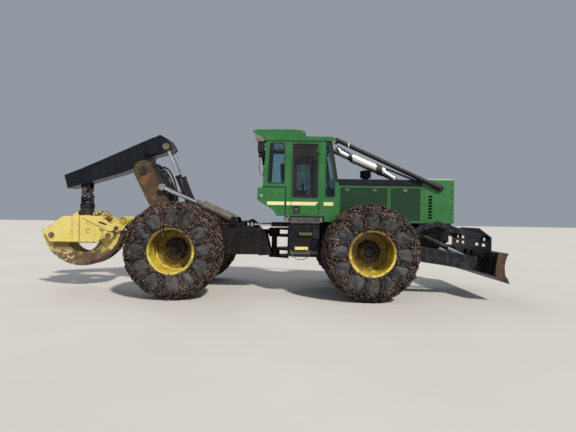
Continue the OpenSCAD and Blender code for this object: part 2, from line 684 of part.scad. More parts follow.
module blade_arms() {
    t = 60;
    color(black) both() difference() {
        union() {
            slab(blade_arm_y, blade_arm_y + 120) polygon([[2900, 980], [3055, 1007], blade_back[1] - [0.2, -20],
                blade_back[0] - [0.2, -10], [3425, 648], [3031, 703], [2900, 760]]);
            slab(blade_arm_y, blade_arm_y + t) {
                translate(blade_pin) circle(115);
                polygon([[2440, 1012], [2480, 792], [2901, 759], [2901, 981], [3010, 1330], [3352, 1432],
                    blade_back[2] - [0.4, -180], blade_back[2] - [0.4, -300], [3352, 1538], [2960, 1410], [2700, 1180]]);
            }
        }
        pin(blade_pin, 45 + gap, blade_arm_y - 1, blade_arm_y + t + 1);
    }
}

// Arch, boom and grapple

module arch() {
    in_y = arch_half - arch_t;
    eye_in = boom_cyl_y - boom_cyl[3] / 2 - gap;
    color(rust) difference() {
        union() {
            both() slab(in_y, arch_half) {
                translate(arch_pin) circle(130);
                translate(boom_pin) circle(215);
                polygon([[-2280, 1230], [-2100, 1130], [-2010, 1330], [-2240, 1830], [-2330, 2250], [-2640, 2672],
                    [-2990, 2432], [-2700, 1850]]);
                strap([-2110, 1290], boom_base, 120, 75);
            }
            both() slab(eye_in - 30, eye_in) strap(arch_pin, boom_base, 85, 75);
            pin(arch_pin, 90, -in_y - 1, in_y + 1);
            both() pin(boom_base, boom_cyl[6], eye_in - 30, arch_half);
            slab(-in_y - 1, in_y + 1) polygon([[-2690, 1880], [-2620, 1880], [-2790, 2270], [-2860, 2240]]);
            both() pin(arch_eye, arch_cyl[2], arch_half - 1, arch_cyl_y - arch_cyl[3] / 2 - gap);
        }
        pin(arch_pin, 50 + gap, -arch_half - 1, arch_half + 1);
        both() pin(boom_pin, 60 + gap, in_y - 1, arch_half + 1);
    }
}

boom_side = [[-4550, 2418], [-4475, 2133], [-3324, 2476], [-2977, 2615], [-2648, 2850], [-2290, 2960],
    [-2219, 3040], [-2330, 3230], [-2499, 3321], [-2640, 3257], [-4141, 2581]];

module boom() {
    cheek = boom_cyl_y + boom_cyl[3] / 2 + gap;
    core = boom_cyl_y - boom_cyl[3] / 2 - gap;
    color(black) {
        slab(-boom_w / 2, boom_w / 2) {
            polygon([boom_side[0], boom_side[1], boom_side[2], boom_side[3], boom_side[4], [-2640, 3257], boom_side[10]]);
            translate(boom_pin) circle(125);
            polygon([[-2925, 2530], [-2675, 2530], [-2700, 2820], [-2900, 2680]]);
        }
        slab(-core, core) polygon([for (i = [3:10]) boom_side[i]]);
        both() {
            slab(cheek, cheek + 28) polygon([[-2760, 2880], [-2640, 2885], [-2290, 2960], [-2219, 3040], [-2330, 3230],
                [-2499, 3280], [-2760, 3150]]);
            slab(core - 1, cheek + 28) polygon([[-2760, 2880], [-2570, 2885], [-2570, 3245], [-2760, 3150]]);
            pin(boom_pin, 100, boom_w / 2 - 1, arch_half - arch_t - gap);
            pin(boom_pin, 60, boom_w / 2 - 1, arch_half + 12);
            slab(90, 130) strap(link_pin, link_pin + [0, 160], 75, 90);
        }
        pin(link_pin, 35, -130, 130);
        // Doubler plates on the sides, and the rings round the tip and knee pins
        both() {
            slab(boom_w / 2 - 1, boom_w / 2 + 8) polygon([[-4400, 2250], [-4180, 2300], [-4180, 2490], [-4450, 2400]]);
            slab(boom_w / 2 - 1, boom_w / 2 + 8) polygon([[-3330, 2500], [-2985, 2640], [-2830, 2745], [-2830, 3120],
                [-2960, 3080], [-3330, 2910]]);
            pin(link_pin, 70, 129, 142);
        }
    }
}

module swing_link() {
    color(yellow) translate([grapple_x, 0, 0]) difference() {
        union() {
            pin([0, link_pin[1]], 85, -90 + gap, 90 - gap);
            translate([-70, -70, roll_z]) cube([140, 140, link_pin[1] - roll_z]);
            translate([-70, 0, roll_z]) rotate([0, 90, 0]) cylinder(r = 75, h = 140);
        }
        pin([0, link_pin[1]], 35 + gap, -91, 91);
        translate([-71, 0, roll_z]) rotate([0, 90, 0]) cylinder(r = 35 + gap, h = 142);
    }
}

module rotator() {
    color(black) translate([grapple_x, 0, 0]) difference() {
        union() {
            for (s = [0, 1]) mirror([s, 0, 0]) {
                translate([70 + gap, 0, roll_z]) rotate([0, 90, 0]) cylinder(r = 75, h = 40);
                translate([70 + gap, -75, 1800]) cube([40, 150, roll_z - 1800]);
            }
            translate([-110, 0, roll_z]) rotate([0, 90, 0]) cylinder(r = 35, h = 220);
            translate([-110, -75, 1790]) cube([220, 150, 50]);
            translate([0, 0, spin_z + gap]) cylinder(r = 150, h = 95);
        }
        translate([0, 0, spin_z]) cylinder(r = 60 + gap, h = 60);
    }
}

grapple_side = [[-369, 1536], [-653, 1322], [-768, 1212], [-639, 969], [337, 970], [553, 1150], [689, 1341], [432, 1548]];

log_tube = [910, 1444];  // tube across the grapple's front, from the grapple's centre line

module grapple_frame() {
    color(yellow) translate([grapple_x, 0, 0]) {
        both() slab(grapple_half - 25, grapple_half) polygon(grapple_side);
        slab(-grapple_half + 24, grapple_half - 24) polygon([[-369, 1536], [-380, 1500], [450, 1500], [432, 1548]]);
        translate([0, 0, 1530]) cylinder(r = 140, h = spin_z - 1530);
        translate([0, 0, spin_z - 1]) cylinder(r = 60, h = 56);
        for (x = [-tong_pivot, tong_pivot]) {
            pin([x, tong_pin_z], 50, -grapple_half, grapple_half);
            both() pin([x, tong_pin_z], 75, grapple_half - 1, grapple_half + 14);
        }
        // Upright seam plate, and the boss over the log tube's bracket
        both() {
            slab(grapple_half - 1, grapple_half + 8) translate([-48, 972]) square([38, 568]);
            slab(grapple_half - 25, grapple_half) strap([650, 1290], log_tube, 70, 62);
            pin([768, 1283], 48, grapple_half - 1, grapple_half + 20);
        }
        difference() {
            pin(log_tube, 97, -grapple_half, grapple_half);
            both() pin(log_tube, 82, grapple_half - 60, grapple_half + 1);
        }
        // Guard ring over the cylinders and the gusset behind the rotator's post
        slab(-95, 95) intersection() {
            difference() {
                translate([320, 1420]) circle(240);
                translate([320, 1420]) circle(165);
            }
            translate([0, 1501]) square(600);
        }
        slab(-60, 60) polygon([[-330, 1510], [-250, 1590], [-110, 1680], [0, 1690], [0, 1510]]);
    }
}

// One tong, drawn at the rear: two crescent plates, each with its pivot collar, and the tubes welded between them
module tong(y, t) {
    pivot = [-tong_pivot, tong_pin_z];
    difference() {
        union() {
            both() slab(y, y + t) {
                translate(pivot) circle(110);
                polygon(concat(arc([0, 1353], tong_r, tong_top, 284, 14), arc([0, 1115], 350, 276, 195, 9)));
            }
            both() pin(pivot, 90, y + t - 1, grapple_half - 25 - gap);
            pin(pivot, 90, -y + weld, y - weld);
            for (p = [[-680, 840], [-440, 640]]) pin(p, 45, -y + weld, y - weld);
        }
        pin(pivot, 50 + gap, -grapple_half, grapple_half);
    }
}

module tong_rear() { color(yellow) translate([grapple_x, 0, 0]) tong(195, 35); }
module tong_front() { color(yellow) translate([grapple_x, 0, 0]) mirror([1, 0, 0]) tong(110, 35); }

module steer_barrel(side) {
    color(black) translate([steer_base[0], side * steer_base[1], steer_z]) rotate([0, 0, 180]) rotate([90, 0, 0])
        barrel(steer_cyl);
}
module steer_rod(side) {
    color(chrome) translate([steer_eye[0], side * steer_eye[1], steer_z]) rotate([0, 0, 180]) rotate([90, 0, 0])
        rod(steer_cyl);
}

// Everything is drawn from the frame hinge and then set on the middle of its own length
module place() { translate([shift_x, 0, 0]) children(); }

place() front_chassis();
place() axle(front_x);  // front_axle
place() engine();
place() hood_panels();
place() hood_cover();
place() radiator_housing();
place() grille();
place() cab();
place() cab_roof();
place() cab_glass();
place() seat();
place() seat_cushions();
place() console();
place() brush_guard();
place() exhaust();
place() side_steps();
place() color(green) door();  // door_left
place() color(green) mirror([0, 1, 0]) door();  // door_right
place() color(black) door_guard();  // door_guard_left
place() color(black) mirror([0, 1, 0]) door_guard();  // door_guard_right
place() cab_lamps();
place() color(glass) door_pane();  // door_glass_left
place() color(glass) mirror([0, 1, 0]) door_pane();  // door_glass_right
place() blade();
place() blade_arms();
place() color(black) both() aim(lift_base, lift_eye, lift_cyl_y) barrel(lift_cyl);  // blade_barrels
place() color(chrome) both() aim(lift_eye, 2 * lift_eye - lift_base, lift_cyl_y) rod(lift_cyl);  // blade_rods
place() rear_chassis();
place() axle(rear_x);  // rear_axle
place() arch();
place() color(black) both() aim(arch_base, arch_eye, arch_cyl_y) barrel(arch_cyl);  // arch_barrels
place() color(chrome) both() aim(arch_eye, 2 * arch_eye - arch_base, arch_cyl_y) rod(arch_cyl);  // arch_rods
place() boom();
place() color(black) both() aim(boom_base, boom_eye, boom_cyl_y) barrel(boom_cyl);  // boom_barrels
place() color(chrome) both() aim(boom_eye, 2 * boom_eye - boom_base, boom_cyl_y) rod(boom_cyl);  // boom_rods
place() steer_barrel(-1);  // steer_barrel_right
place() steer_rod(-1);  // steer_rod_right
place() steer_barrel(1);  // steer_barrel_left
place() steer_rod(1);  // steer_rod_left
place() swing_link();
place() rotator();
place() grapple_frame();
place() tong_rear();
place() tong_front();
place() rim(front_x, -1);  // rim_front_right
place() rim(front_x, 1);  // rim_front_left
place() rim(rear_x, -1);  // rim_rear_right
place() rim(rear_x, 1);  // rim_rear_left
place() tyre(front_x, -1);  // tyre_front_right
place() tyre(front_x, 1);  // tyre_front_left
place() tyre(rear_x, -1);  // tyre_rear_right
place() tyre(rear_x, 1);  // tyre_rear_left
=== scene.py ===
import math

import bpy
import numpy as np
from mathutils import Matrix


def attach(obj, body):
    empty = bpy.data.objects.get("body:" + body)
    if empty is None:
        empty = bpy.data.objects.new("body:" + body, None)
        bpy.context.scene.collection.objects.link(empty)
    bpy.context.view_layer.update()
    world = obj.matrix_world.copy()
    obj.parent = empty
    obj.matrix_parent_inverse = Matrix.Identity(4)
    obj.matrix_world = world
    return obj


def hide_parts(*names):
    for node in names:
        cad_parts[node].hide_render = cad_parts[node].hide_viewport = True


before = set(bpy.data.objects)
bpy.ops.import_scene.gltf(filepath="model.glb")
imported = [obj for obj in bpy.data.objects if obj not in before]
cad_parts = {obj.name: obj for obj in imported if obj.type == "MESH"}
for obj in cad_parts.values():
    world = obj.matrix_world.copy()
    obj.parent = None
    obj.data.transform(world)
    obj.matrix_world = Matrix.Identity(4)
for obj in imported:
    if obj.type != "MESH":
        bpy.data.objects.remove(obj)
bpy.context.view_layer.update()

# --- The view ---------------------------------------------------------------------------------
# A hand-held picture of the right side from about ten metres, at standing eye
# height and tilted a little.
# Focal length in mm on a sensor 36 mm wide, the spot in metres, the tilt in radians
view_lens = 27.06
view_spot = (0.5476, -9.55, 1.6)
view_tilt = -0.0142

eye = bpy.data.cameras.new("view")
eye.sensor_width = 36
eye.lens = view_lens
eye.clip_end = 500
viewer = bpy.data.objects.new("view", eye)
bpy.context.scene.collection.objects.link(viewer)
viewer.matrix_world = (
    Matrix.Translation(view_spot)
    @ Matrix.Rotation(view_tilt, 4, "Y")
    @ Matrix.Rotation(math.pi / 2, 4, "X")
)
bpy.context.scene.camera = viewer

# --- Floor and light --------------------------------------------------------------------------
# A pale plain floor out to the horizon, a strong lamp from high ahead on the
# viewer's side, a weak soft one from behind.


def add(tree, kind, sockets=None, **settings):
    """One shader node. A socket given as another node's output is linked to it, any other value is set on it."""
    made = tree.nodes.new("ShaderNode" + kind)
    for key, value in settings.items():
        setattr(made, key, value)
    for key, value in (sockets or {}).items():
        if isinstance(value, bpy.types.NodeSocket):
            tree.links.new(value, made.inputs[key])
        else:
            made.inputs[key].default_value = value
    return made


def finish(name, **shader):
    """A material with one Principled shader. Returns the material, its tree and the shader."""
    material = bpy.data.materials.new(name)
    material.use_nodes = True
    tree = material.node_tree
    tree.nodes.clear()
    principled = add(tree, "BsdfPrincipled", {k.replace("_", " "): v for k, v in shader.items()})
    out = add(tree, "OutputMaterial")
    tree.links.new(principled.outputs["BSDF"], out.inputs["Surface"])
    return material, tree, principled


def unit(vectors):
    """Vectors brought to length 1."""
    return vectors / np.linalg.norm(vectors, axis=-1, keepdims=True)


def feed(shader, **sockets):
    """Links sockets into the shader's inputs of these names."""
    for key, value in sockets.items():
        shader.id_data.links.new(value, shader.inputs[key.replace("_", " ")])


def object_point(tree, axis=None):
    """Where a spot lies on Object coordinates, or one coordinate of it."""
    place = add(tree, "TexCoord").outputs["Object"]
    return add(tree, "SeparateXYZ", {"Vector": place}).outputs[axis] if axis else place


def noise(tree, scale, detail=6, rough=0.5, where=None):
    """A noise texture's strength, on Object coordinates unless told where."""
    rows = {"Vector": where or object_point(tree), "Scale": scale, "Detail": detail, "Roughness": rough}
    return add(tree, "TexNoise", rows).outputs["Fac"]


def mesh_piece(name, points, faces, material, smooth=True, sharp_deg=40):
    """A mesh object at the origin from an array of points and a list of faces, with edges
    over sharp_deg kept crisp."""
    mesh = bpy.data.meshes.new(name)
    mesh.from_pydata(np.asarray(points, float).tolist(), [], [list(map(int, f)) for f in faces])
    mesh.update()
    obj = bpy.data.objects.new(name, mesh)
    bpy.context.scene.collection.objects.link(obj)
    mesh.materials.append(material)
    if smooth:
        mesh.polygons.foreach_set("use_smooth", [True] * len(mesh.polygons))
        if sharp_deg:
            mesh.set_sharp_from_angle(angle=math.radians(sharp_deg))
    return obj


floor_size = 160.0
floor_finish, tree, shader = finish("floor", Roughness=0.9, Specular_IOR_Level=0.2)
tone = add(tree, "ValToRGB", {"Fac": noise(tree, 0.35, 3)})
for stop, colour in zip(tone.color_ramp.elements, ((0.56, 0.53, 0.49, 1), (0.64, 0.61, 0.57, 1))):
    stop.color = colour
feed(shader, Base_Color=tone.outputs["Color"])
corner = floor_size / 2
floor = mesh_piece(
    "floor",
    [(-corner, -corner, 0), (corner, -corner, 0), (corner, corner, 0), (-corner, corner, 0)],
    [(0, 1, 2, 3)],
    floor_finish,
    smooth=False,
)

sky = bpy.data.worlds.new("studio")
bpy.context.scene.world = sky
sky.use_nodes = True
sky_shine = sky.node_tree.nodes["Background"].inputs
sky_shine["Color"].default_value = (0.8, 0.88, 1.0, 1)
sky_shine["Strength"].default_value = 0.36
bpy.context.scene.view_settings.view_transform = "Standard"

lamp_distance = 12
lamp_rows = [
    ("high_lamp", (5.0, -8.0, 8.2), 3.6, 4, (1.0, 0.96, 0.9)),
    ("back_lamp", (-5.0, 7.0, 9.0), 0.45, 30, (0.92, 0.96, 1.0)),
]
for name, direction, strength, spread_deg, colour in lamp_rows:
    lamp = bpy.data.lights.new(name, "SUN")
    lamp.energy = strength
    lamp.angle = math.radians(spread_deg)
    lamp.color = colour
    holder = bpy.data.objects.new(name, lamp)
    bpy.context.scene.collection.objects.link(holder)
    toward = unit(np.array(direction))
    side = unit(np.cross((0, 0, 1), toward))
    rows = np.stack([side, np.cross(toward, side), toward, toward * lamp_distance], -1).tolist()
    holder.matrix_world = Matrix(rows + [[0, 0, 0, 1]])

# --- Weather and wear -------------------------------------------------------------------------
# What years of yarding leave on every surface: dust on what faces up and low
# down, edges rubbed bare, paint gone uneven.


def effect(name, inputs, outputs):
    """An empty shader node group with these inputs (name, default) and outputs (name, kind). Returns
    it with its ends."""
    made = bpy.data.node_groups.new(name, "ShaderNodeTree")
    kinds = {"value": "NodeSocketFloat", "normal": "NodeSocketVector"}
    for label, default in inputs:
        made.interface.new_socket(label, in_out="INPUT", socket_type=kinds["value"]).default_value = default
    for label, kind in outputs:
        made.interface.new_socket(label, in_out="OUTPUT", socket_type=kinds[kind])
    return made, made.nodes.new("NodeGroupInput"), made.nodes.new("NodeGroupOutput")


def maths(tree, operation, a, b=0.5, c=0.0, clamp=True):
    """One Math node's output, of numbers or sockets."""
    return add(tree, "Math", dict(enumerate((a, b, c))), operation=operation, use_clamp=clamp).outputs[0]


def times(tree, a, b):
    """The product of two numbers or sockets."""
    return maths(tree, "MULTIPLY", a, b)


def scaled(tree, a, b, c, clamp=True):
    """a times b plus c."""
    return maths(tree, "MULTIPLY_ADD", a, b, c, clamp)


def less(tree, a):
    """What is left of 1 without a."""
    return maths(tree, "SUBTRACT", 1.0, a)


def ramp(tree, value, low, high):
    """0 below low, 1 above high, smooth between."""
    rows = {"Value": value, "From Min": low, "From Max": high}
    return add(tree, "MapRange", rows, interpolation_type="SMOOTHSTEP").outputs["Result"]


def blend(tree, share, under, over):
    """Colour under where share is 0 and over where it is 1. A colour is a socket or red, green
    and blue in thousandths."""
    ends = [[part / 1000 for part in end] + [1] if isinstance(end, tuple) else end for end in (under, over)]
    return add(tree, "Mix", {0: share, 6: ends[0], 7: ends[1]}, data_type="RGBA").outputs[2]


def bumped(tree, height, strength, distance, **normal):
    """The normal that a height gives the surface."""
    rows = {"Height": height, "Strength": strength, "Distance": distance, **normal}
    return add(tree, "Bump", rows).outputs["Normal"]


weather, enters, leaves = effect(
    "weather",
    [("Dust", 0.5), ("Splash", 0.9), ("Chips", 0.4), ("Edge", 0.006), ("Grain", 1.0)],
    [(label, "value") for label in ("Dust", "Worn", "Mottle", "Streak", "Height")] + [("Normal", "normal")],
)
place = object_point(weather)
facing = add(weather, "NewGeometry")
split = add(weather, "SeparateXYZ", {"Vector": facing.outputs["Normal"]})
height = add(weather, "SeparateXYZ", {"Vector": place}).outputs["Z"]
coarse = noise(weather, 2.2, 5, 0.62, place)
middle = noise(weather, 11, 6, 0.65, place)
fine = noise(weather, 85, 3, 0.6, place)
stretched = add(weather, "Mapping", {"Vector": place, "Scale": (14, 14, 0.9)}).outputs["Vector"]
runs = noise(weather, 1, 4, 0.5, stretched)
# Dust lies where the surface faces up, and is thrown up by the wheels on what is low
upward_share = ramp(weather, split.outputs["Z"], 0.25, 0.95)
low_share = less(weather, ramp(weather, height, 0.25, enters.outputs["Splash"]))
settled = scaled(weather, upward_share, 0.75, times(weather, low_share, 0.7))
patchy = ramp(weather, scaled(weather, middle, 0.6, times(weather, coarse, 0.6)), 0.4, 0.78)
film = scaled(weather, settled, scaled(weather, patchy, 0.75, 0.25), times(weather, patchy, 0.18))
weather.links.new(times(weather, film, enters.outputs["Dust"]), leaves.inputs["Dust"])
# Edges are where the rounded normal leaves the flat one
eased = add(weather, "Bevel", {"Radius": enters.outputs["Edge"]}, samples=4).outputs["Normal"]
bend = add(weather, "VectorMath", {0: eased, 1: facing.outputs["Normal"]}, operation="DOT_PRODUCT").outputs["Value"]
at_edge = ramp(weather, bend, 0.995, 0.86)
spots = ramp(weather, scaled(weather, fine, 0.45, times(weather, middle, 0.65)), 0.6, 0.7)
rubbed = times(weather, at_edge, ramp(weather, middle, 0.42, 0.6))
worn = times(weather, maths(weather, "MAXIMUM", rubbed, times(weather, spots, 0.8)), enters.outputs["Chips"])
weather.links.new(worn, leaves.inputs["Worn"])
weather.links.new(scaled(weather, coarse, 0.6, times(weather, middle, 0.4)), leaves.inputs["Mottle"])
weather.links.new(ramp(weather, runs, 0.5, 0.75), leaves.inputs["Streak"])
weather.links.new(
    times(weather, enters.outputs["Grain"], scaled(weather, fine, 0.35, times(weather, middle, 0.65))),
    leaves.inputs["Height"],
)
weather.links.new(eased, leaves.inputs["Normal"])

# Dry forest dust
dust_tone = (360, 290, 220)


def weathered(tree, **levels):
    """The weather group set into a tree at these levels. Returns its outputs."""
    marks = add(tree, "Group", node_tree=weather)
    for key, value in levels.items():
        marks.inputs[key].default_value = value
    return marks.outputs


def coat(material, *names):
    """Gives the CAD nodes this material through their slots."""
    for name in names:
        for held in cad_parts[name].material_slots:
            held.material = material


def worn_paint(name, colour, faded, bare, dust=0.5, splash=0.9, chips=0.4, edge=0.006, gloss=0.35, bumps=0.15,
    clear=0.0, metal=0.0, shine=0.5, on=""):
    """Sprayed or rolled coating on steel: colour goes uneven to faded, chips show bare, dust lies over all of it. The
    CAD nodes named in on get it through their slots."""
    material, tree, shader = finish(name, Coat_Weight=clear, Coat_Roughness=0.18, Specular_IOR_Level=shine)
    marks = weathered(tree, Dust=dust, Splash=splash, Chips=chips, Edge=edge)
    uneven = ramp(tree, marks["Mottle"], 0.35, 0.68)
    base = blend(tree, uneven, colour, faded)
    streaked = blend(tree, times(tree, marks["Streak"], 0.22), base, bare)
    chipped = blend(tree, marks["Worn"], streaked, bare)
    dusty = blend(tree, marks["Dust"], chipped, dust_tone)
    sheen = scaled(tree, marks["Mottle"], 0.25, gloss - 0.1)
    dull = scaled(tree, maths(tree, "MAXIMUM", marks["Dust"], marks["Worn"]), 0.5, sheen)
    bump = bumped(tree, marks["Height"], bumps, 0.004, Normal=marks["Normal"])
    feed(shader, Base_Color=dusty, Roughness=dull, Normal=bump)
    if metal:
        feed(shader, Metallic=times(tree, less(tree, marks["Dust"]), metal))
    coat(material, *on.split())
    return material


# The frame hinge, this far ahead of the origin
hinge_x = 0.25509


def inside(tree, low, high, soft=0.002):
    """1 inside the box from low to high, 0 outside. X is from the frame hinge, Y counts alike on both
    sides, None is open."""
    at = add(tree, "SeparateXYZ", {"Vector": object_point(tree)})
    share = 1.0
    for axis, a, b in zip("XYZ", low, high):
        value = maths(tree, "ABSOLUTE", at.outputs[axis], clamp=False) if axis == "Y" else at.outputs[axis]
        for end, run in ((a, soft), (b, -soft)):
            if end is not None:
                end += hinge_x if axis == "X" else 0
                share = times(tree, share, ramp(tree, value, end - run, end + run))
    return share


def away_from(tree, x, z):
    """Distance from the line along Y through x, from the frame hinge, and z."""
    moved = add(tree, "VectorMath", {0: object_point(tree), 1: (-x - hinge_x, 0, -z)}, operation="ADD")
    flat = add(tree, "VectorMath", {0: moved.outputs["Vector"], 1: (1, 0, 1)}, operation="MULTIPLY")
    return add(tree, "VectorMath", {0: flat.outputs["Vector"]}, operation="LENGTH").outputs["Value"]


def patches(tree, scale, low, high):
    """Ragged spots: 0 where the noise is under low, 1 where it is over high."""
    return ramp(tree, noise(tree, scale, 6, 0.62), low, high)


def overlay(material, share, colour, rough=None, metal=None):
    """Lays another finish over a material where share is 1. The colour may be a socket."""
    tree = material.node_tree
    shader = tree.nodes["Principled BSDF"]
    for key, value in (("Base Color", colour), ("Roughness", rough), ("Metallic", metal)):
        if value is None:
            continue
        socket = shader.inputs[key]
        under = socket.links[0].from_socket if socket.links else socket.default_value
        if key == "Base Color":
            mixed = blend(tree, share, under, value)
        else:
            mixed = scaled(tree, share, maths(tree, "SUBTRACT", value, under, clamp=False), under)
        tree.links.new(mixed, socket)


# --- Frames, axles and hitch ------------------------------------------------------------------
# Two welded box frames of plate on a vertical hinge, brushed black; axle
# housings are castings in the same paint. Bolt heads, the pin keepers and the
# hinge's gussets stand on their sides.
black_paint = worn_paint("black_paint", (4, 4, 5), (10, 10, 11), (50, 40, 34), dust=0.09, splash=1.0, chips=0.35,
    gloss=0.4, shine=0.22, on="front_chassis front_axle rear_chassis rear_axle engine console seat rotator")
hands = {"right": -1, "left": 1}
# From the frame hinge to either axle
half_wheelbase = 1.87


def grid_faces(rows, columns, wrap_rows=False, wrap_columns=False):
    """Quads of a grid of points stored row by row, closed round either way where asked."""
    r = np.arange(rows if wrap_rows else rows - 1)
    c = np.arange(columns if wrap_columns else columns - 1)
    r, c = np.meshgrid(r, c, indexing="ij")
    r2, c2 = (r + 1) % rows, (c + 1) % columns
    return np.stack([r * columns + c, r * columns + c2, r2 * columns + c2, r2 * columns + c], -1).reshape(-1, 4)


def end_caps(count, rings):
    """The two faces that close a tube of so many rings of count points."""
    return [list(range(count)), [rings * count - 1 - i for i in range(count)]]


def run_along(points):
    """Length from the first point to each of them."""
    return np.concatenate([[0], np.cumsum(np.linalg.norm(np.diff(points, axis=0), axis=1))])


def from_hinge(points):
    """Points given from the frame hinge, in the machine's frame."""
    return np.asarray(points, float) + (hinge_x, 0, 0)


def turned(profile, centre, axis=(0, -1, 0), sides=24):
    """Turns (radius, height) pairs about an axis through centre, from foot to top: a ring is centre + height * axis +
    radius * (cos a, sin a). A first or last radius of 0 closes to one point."""
    axis = np.asarray(axis, float)
    beside = unit(np.cross(axis, (0.3, 0.5, 0.8)))
    over = np.cross(axis, beside)
    profile = np.asarray(profile, float)
    rings = profile[profile[:, 0] > 0]
    a = (np.arange(sides) + 0.5) * 2 * np.pi / sides
    spoke = np.cos(a)[:, None] * beside + np.sin(a)[:, None] * over
    points = (np.asarray(centre) + rings[:, None, 1:] * axis + rings[:, None, :1] * spoke).reshape(-1, 3)
    faces = grid_faces(len(rings), sides, wrap_columns=True).tolist()
    turn = np.arange(sides)
    follow = (turn + 1) % sides
    for at, row, pair in ((profile[0], 0, (follow, turn)), (profile[-1], len(rings) - 1, (turn, follow))):
        if at[0] == 0:
            tip = np.full(sides, len(points))
            faces += np.stack([tip, row * sides + pair[0], row * sides + pair[1]], -1).tolist()
            points = np.vstack([points, np.asarray(centre) + at[1] * axis])
    return points, faces


def joined(*shapes):
    """Several (points, faces) shapes as one."""
    start = np.cumsum([0] + [len(points) for points, _ in shapes])
    return np.concatenate([points for points, _ in shapes]), [
        [i + start[n] for i in face] for n, (_, faces) in enumerate(shapes) for face in faces
    ]


def copies(shape, places):
    """A shape made about the origin, set down at each of the places."""
    points, faces = shape
    places = np.asarray(places, float).reshape(-1, 3)
    return (points[None] + places[:, None]).reshape(-1, 3), [
        [i + n * len(points) for i in face] for n in range(len(places)) for face in faces
    ]


def mirrored(shape):
    """A shape's mirror image in Y, its faces turned back outwards."""
    return shape[0] * (1, -1, 1), [list(face)[::-1] for face in shape[1]]


def both_sides(*shapes):
    """Shapes of the right side together with their mirror images."""
    one = joined(*shapes)
    return joined(one, mirrored(one))


def bolt_heads(places, size, axis=(0, -1, 0)):
    """Hexagon heads on washers, size the radius over the corners."""
    rows = [(size * 1.35, 0), (size * 1.35, size * 0.2), (size, size * 0.22), (size, size * 0.85),
        (size * 0.86, size), (0, size)]
    return copies(turned(rows, (0, 0, 0), axis, 6), places)


def row_of(start, end, count):
    """Points spread evenly from start to end, shifted from the frame hinge."""
    return from_hinge(np.linspace(start, end, count))


def on_circle(centre, radius, count, turn=0.0):
    """Points round a circle in the X-Z plane."""
    a = turn + np.arange(count) * 2 * np.pi / count
    return np.stack([centre[0] + radius * np.cos(a), 0 * a + centre[1], centre[2] + radius * np.sin(a)], -1)


def keeper(x, y, z, radius):
    """The plate over a pin's end on the right side: a chamfered disc with three bolts. x is from the frame hinge."""
    x += hinge_x
    rows = [(radius, 0), (radius, 0.008), (radius - 0.006, 0.014), (radius * 0.45, 0.014), (radius * 0.4, 0.01),
        (0, 0.01)]
    bolts = on_circle((x, y - 0.013, z), radius * 0.68, 3, 0.5)
    return joined(turned(rows, (x, y, z), sides=28), bolt_heads(bolts, 0.011))


def piece(name, shape, material, body, sharp_deg=35):
    """A finished mesh in the given material that rides on a body."""
    made = mesh_piece(name, shape[0], shape[1], material, sharp_deg=sharp_deg)
    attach(made, body)
    return made


bolt_steel = worn_paint("bolt_steel", (20, 19, 19), (45, 41, 37), (140, 90, 60), dust=0.15, splash=1.2, chips=0.6,
    gloss=0.45, metal=0.5)
front_bolts = np.concatenate([
    row_of((1.63, -0.38, 1.035), (2.11, -0.38, 1.035), 5), row_of((2.75, -0.38, 1.4), (3.55, -0.38, 1.4), 6),
    row_of((0.36, -0.38, 0.85), (0.36, -0.38, 1.25), 4)])
piece("front_frame_bolts", both_sides(bolt_heads(front_bolts, 0.016)), bolt_steel, "front_frame")
rear_bolts = np.concatenate([
    row_of((-2.11, -0.38, 1.035), (-1.63, -0.38, 1.035), 5), row_of((-0.34, -0.38, 0.85), (-0.34, -0.38, 1.28), 5),
    row_of((-0.9, -0.38, 1.36), (-1.38, -0.38, 1.36), 4), row_of((-2.38, -0.38, 0.95), (-2.38, -0.38, 1.28), 3)])
piece("rear_frame_bolts", both_sides(bolt_heads(rear_bolts, 0.016), keeper(-2.15, -0.395, 1.25, 0.085)),
    bolt_steel, "rear_frame")

gusset = [(-0.3, 0.77), (-0.075, 0.77), (-0.06, 0.8), (-0.185, 1.29), (-0.3, 1.3)]


def drawn_in(outline, depth):
    """Moves every edge of an anticlockwise outline inwards: a corner goes depth * (n + m) / (1 + n.m), n and
    m its edges' normals."""
    outline = np.asarray(outline, float)
    edge = unit(np.roll(outline, -1, 0) - outline)
    n = np.stack([-edge[:, 1], edge[:, 0]], -1)
    m = np.roll(n, 1, 0)
    return outline + depth * (n + m) / (1 + (n * m).sum(1))[:, None]


def upright(outline, y):
    """An X-Z outline, x from the frame hinge, as points at y."""
    outline = np.asarray(outline, float)
    return np.stack([outline[:, 0] + hinge_x, np.full(len(outline), y), outline[:, 1]], -1)


def plate(outline, y0, y1, bevel=0.003):
    """A flat plate from an anticlockwise X-Z outline: four rings of it from y0 to y1, the outer two drawn
    in by the bevel."""
    inner = drawn_in(outline, bevel)
    rings = [upright(inner, y0), upright(outline, y0 + bevel), upright(outline, y1 - bevel), upright(inner, y1)]
    count = len(inner)
    faces = grid_faces(4, count, wrap_columns=True)[:, ::-1].tolist()
    return np.concatenate(rings), faces + end_caps(count, 4)


gusset_bolts = row_of((-0.115, -0.372, 0.86), (-0.205, -0.372, 1.24), 4)
piece("hinge_gussets", both_sides(plate(gusset, -0.372, -0.352), bolt_heads(gusset_bolts, 0.013)),
    black_paint, "rear_frame")

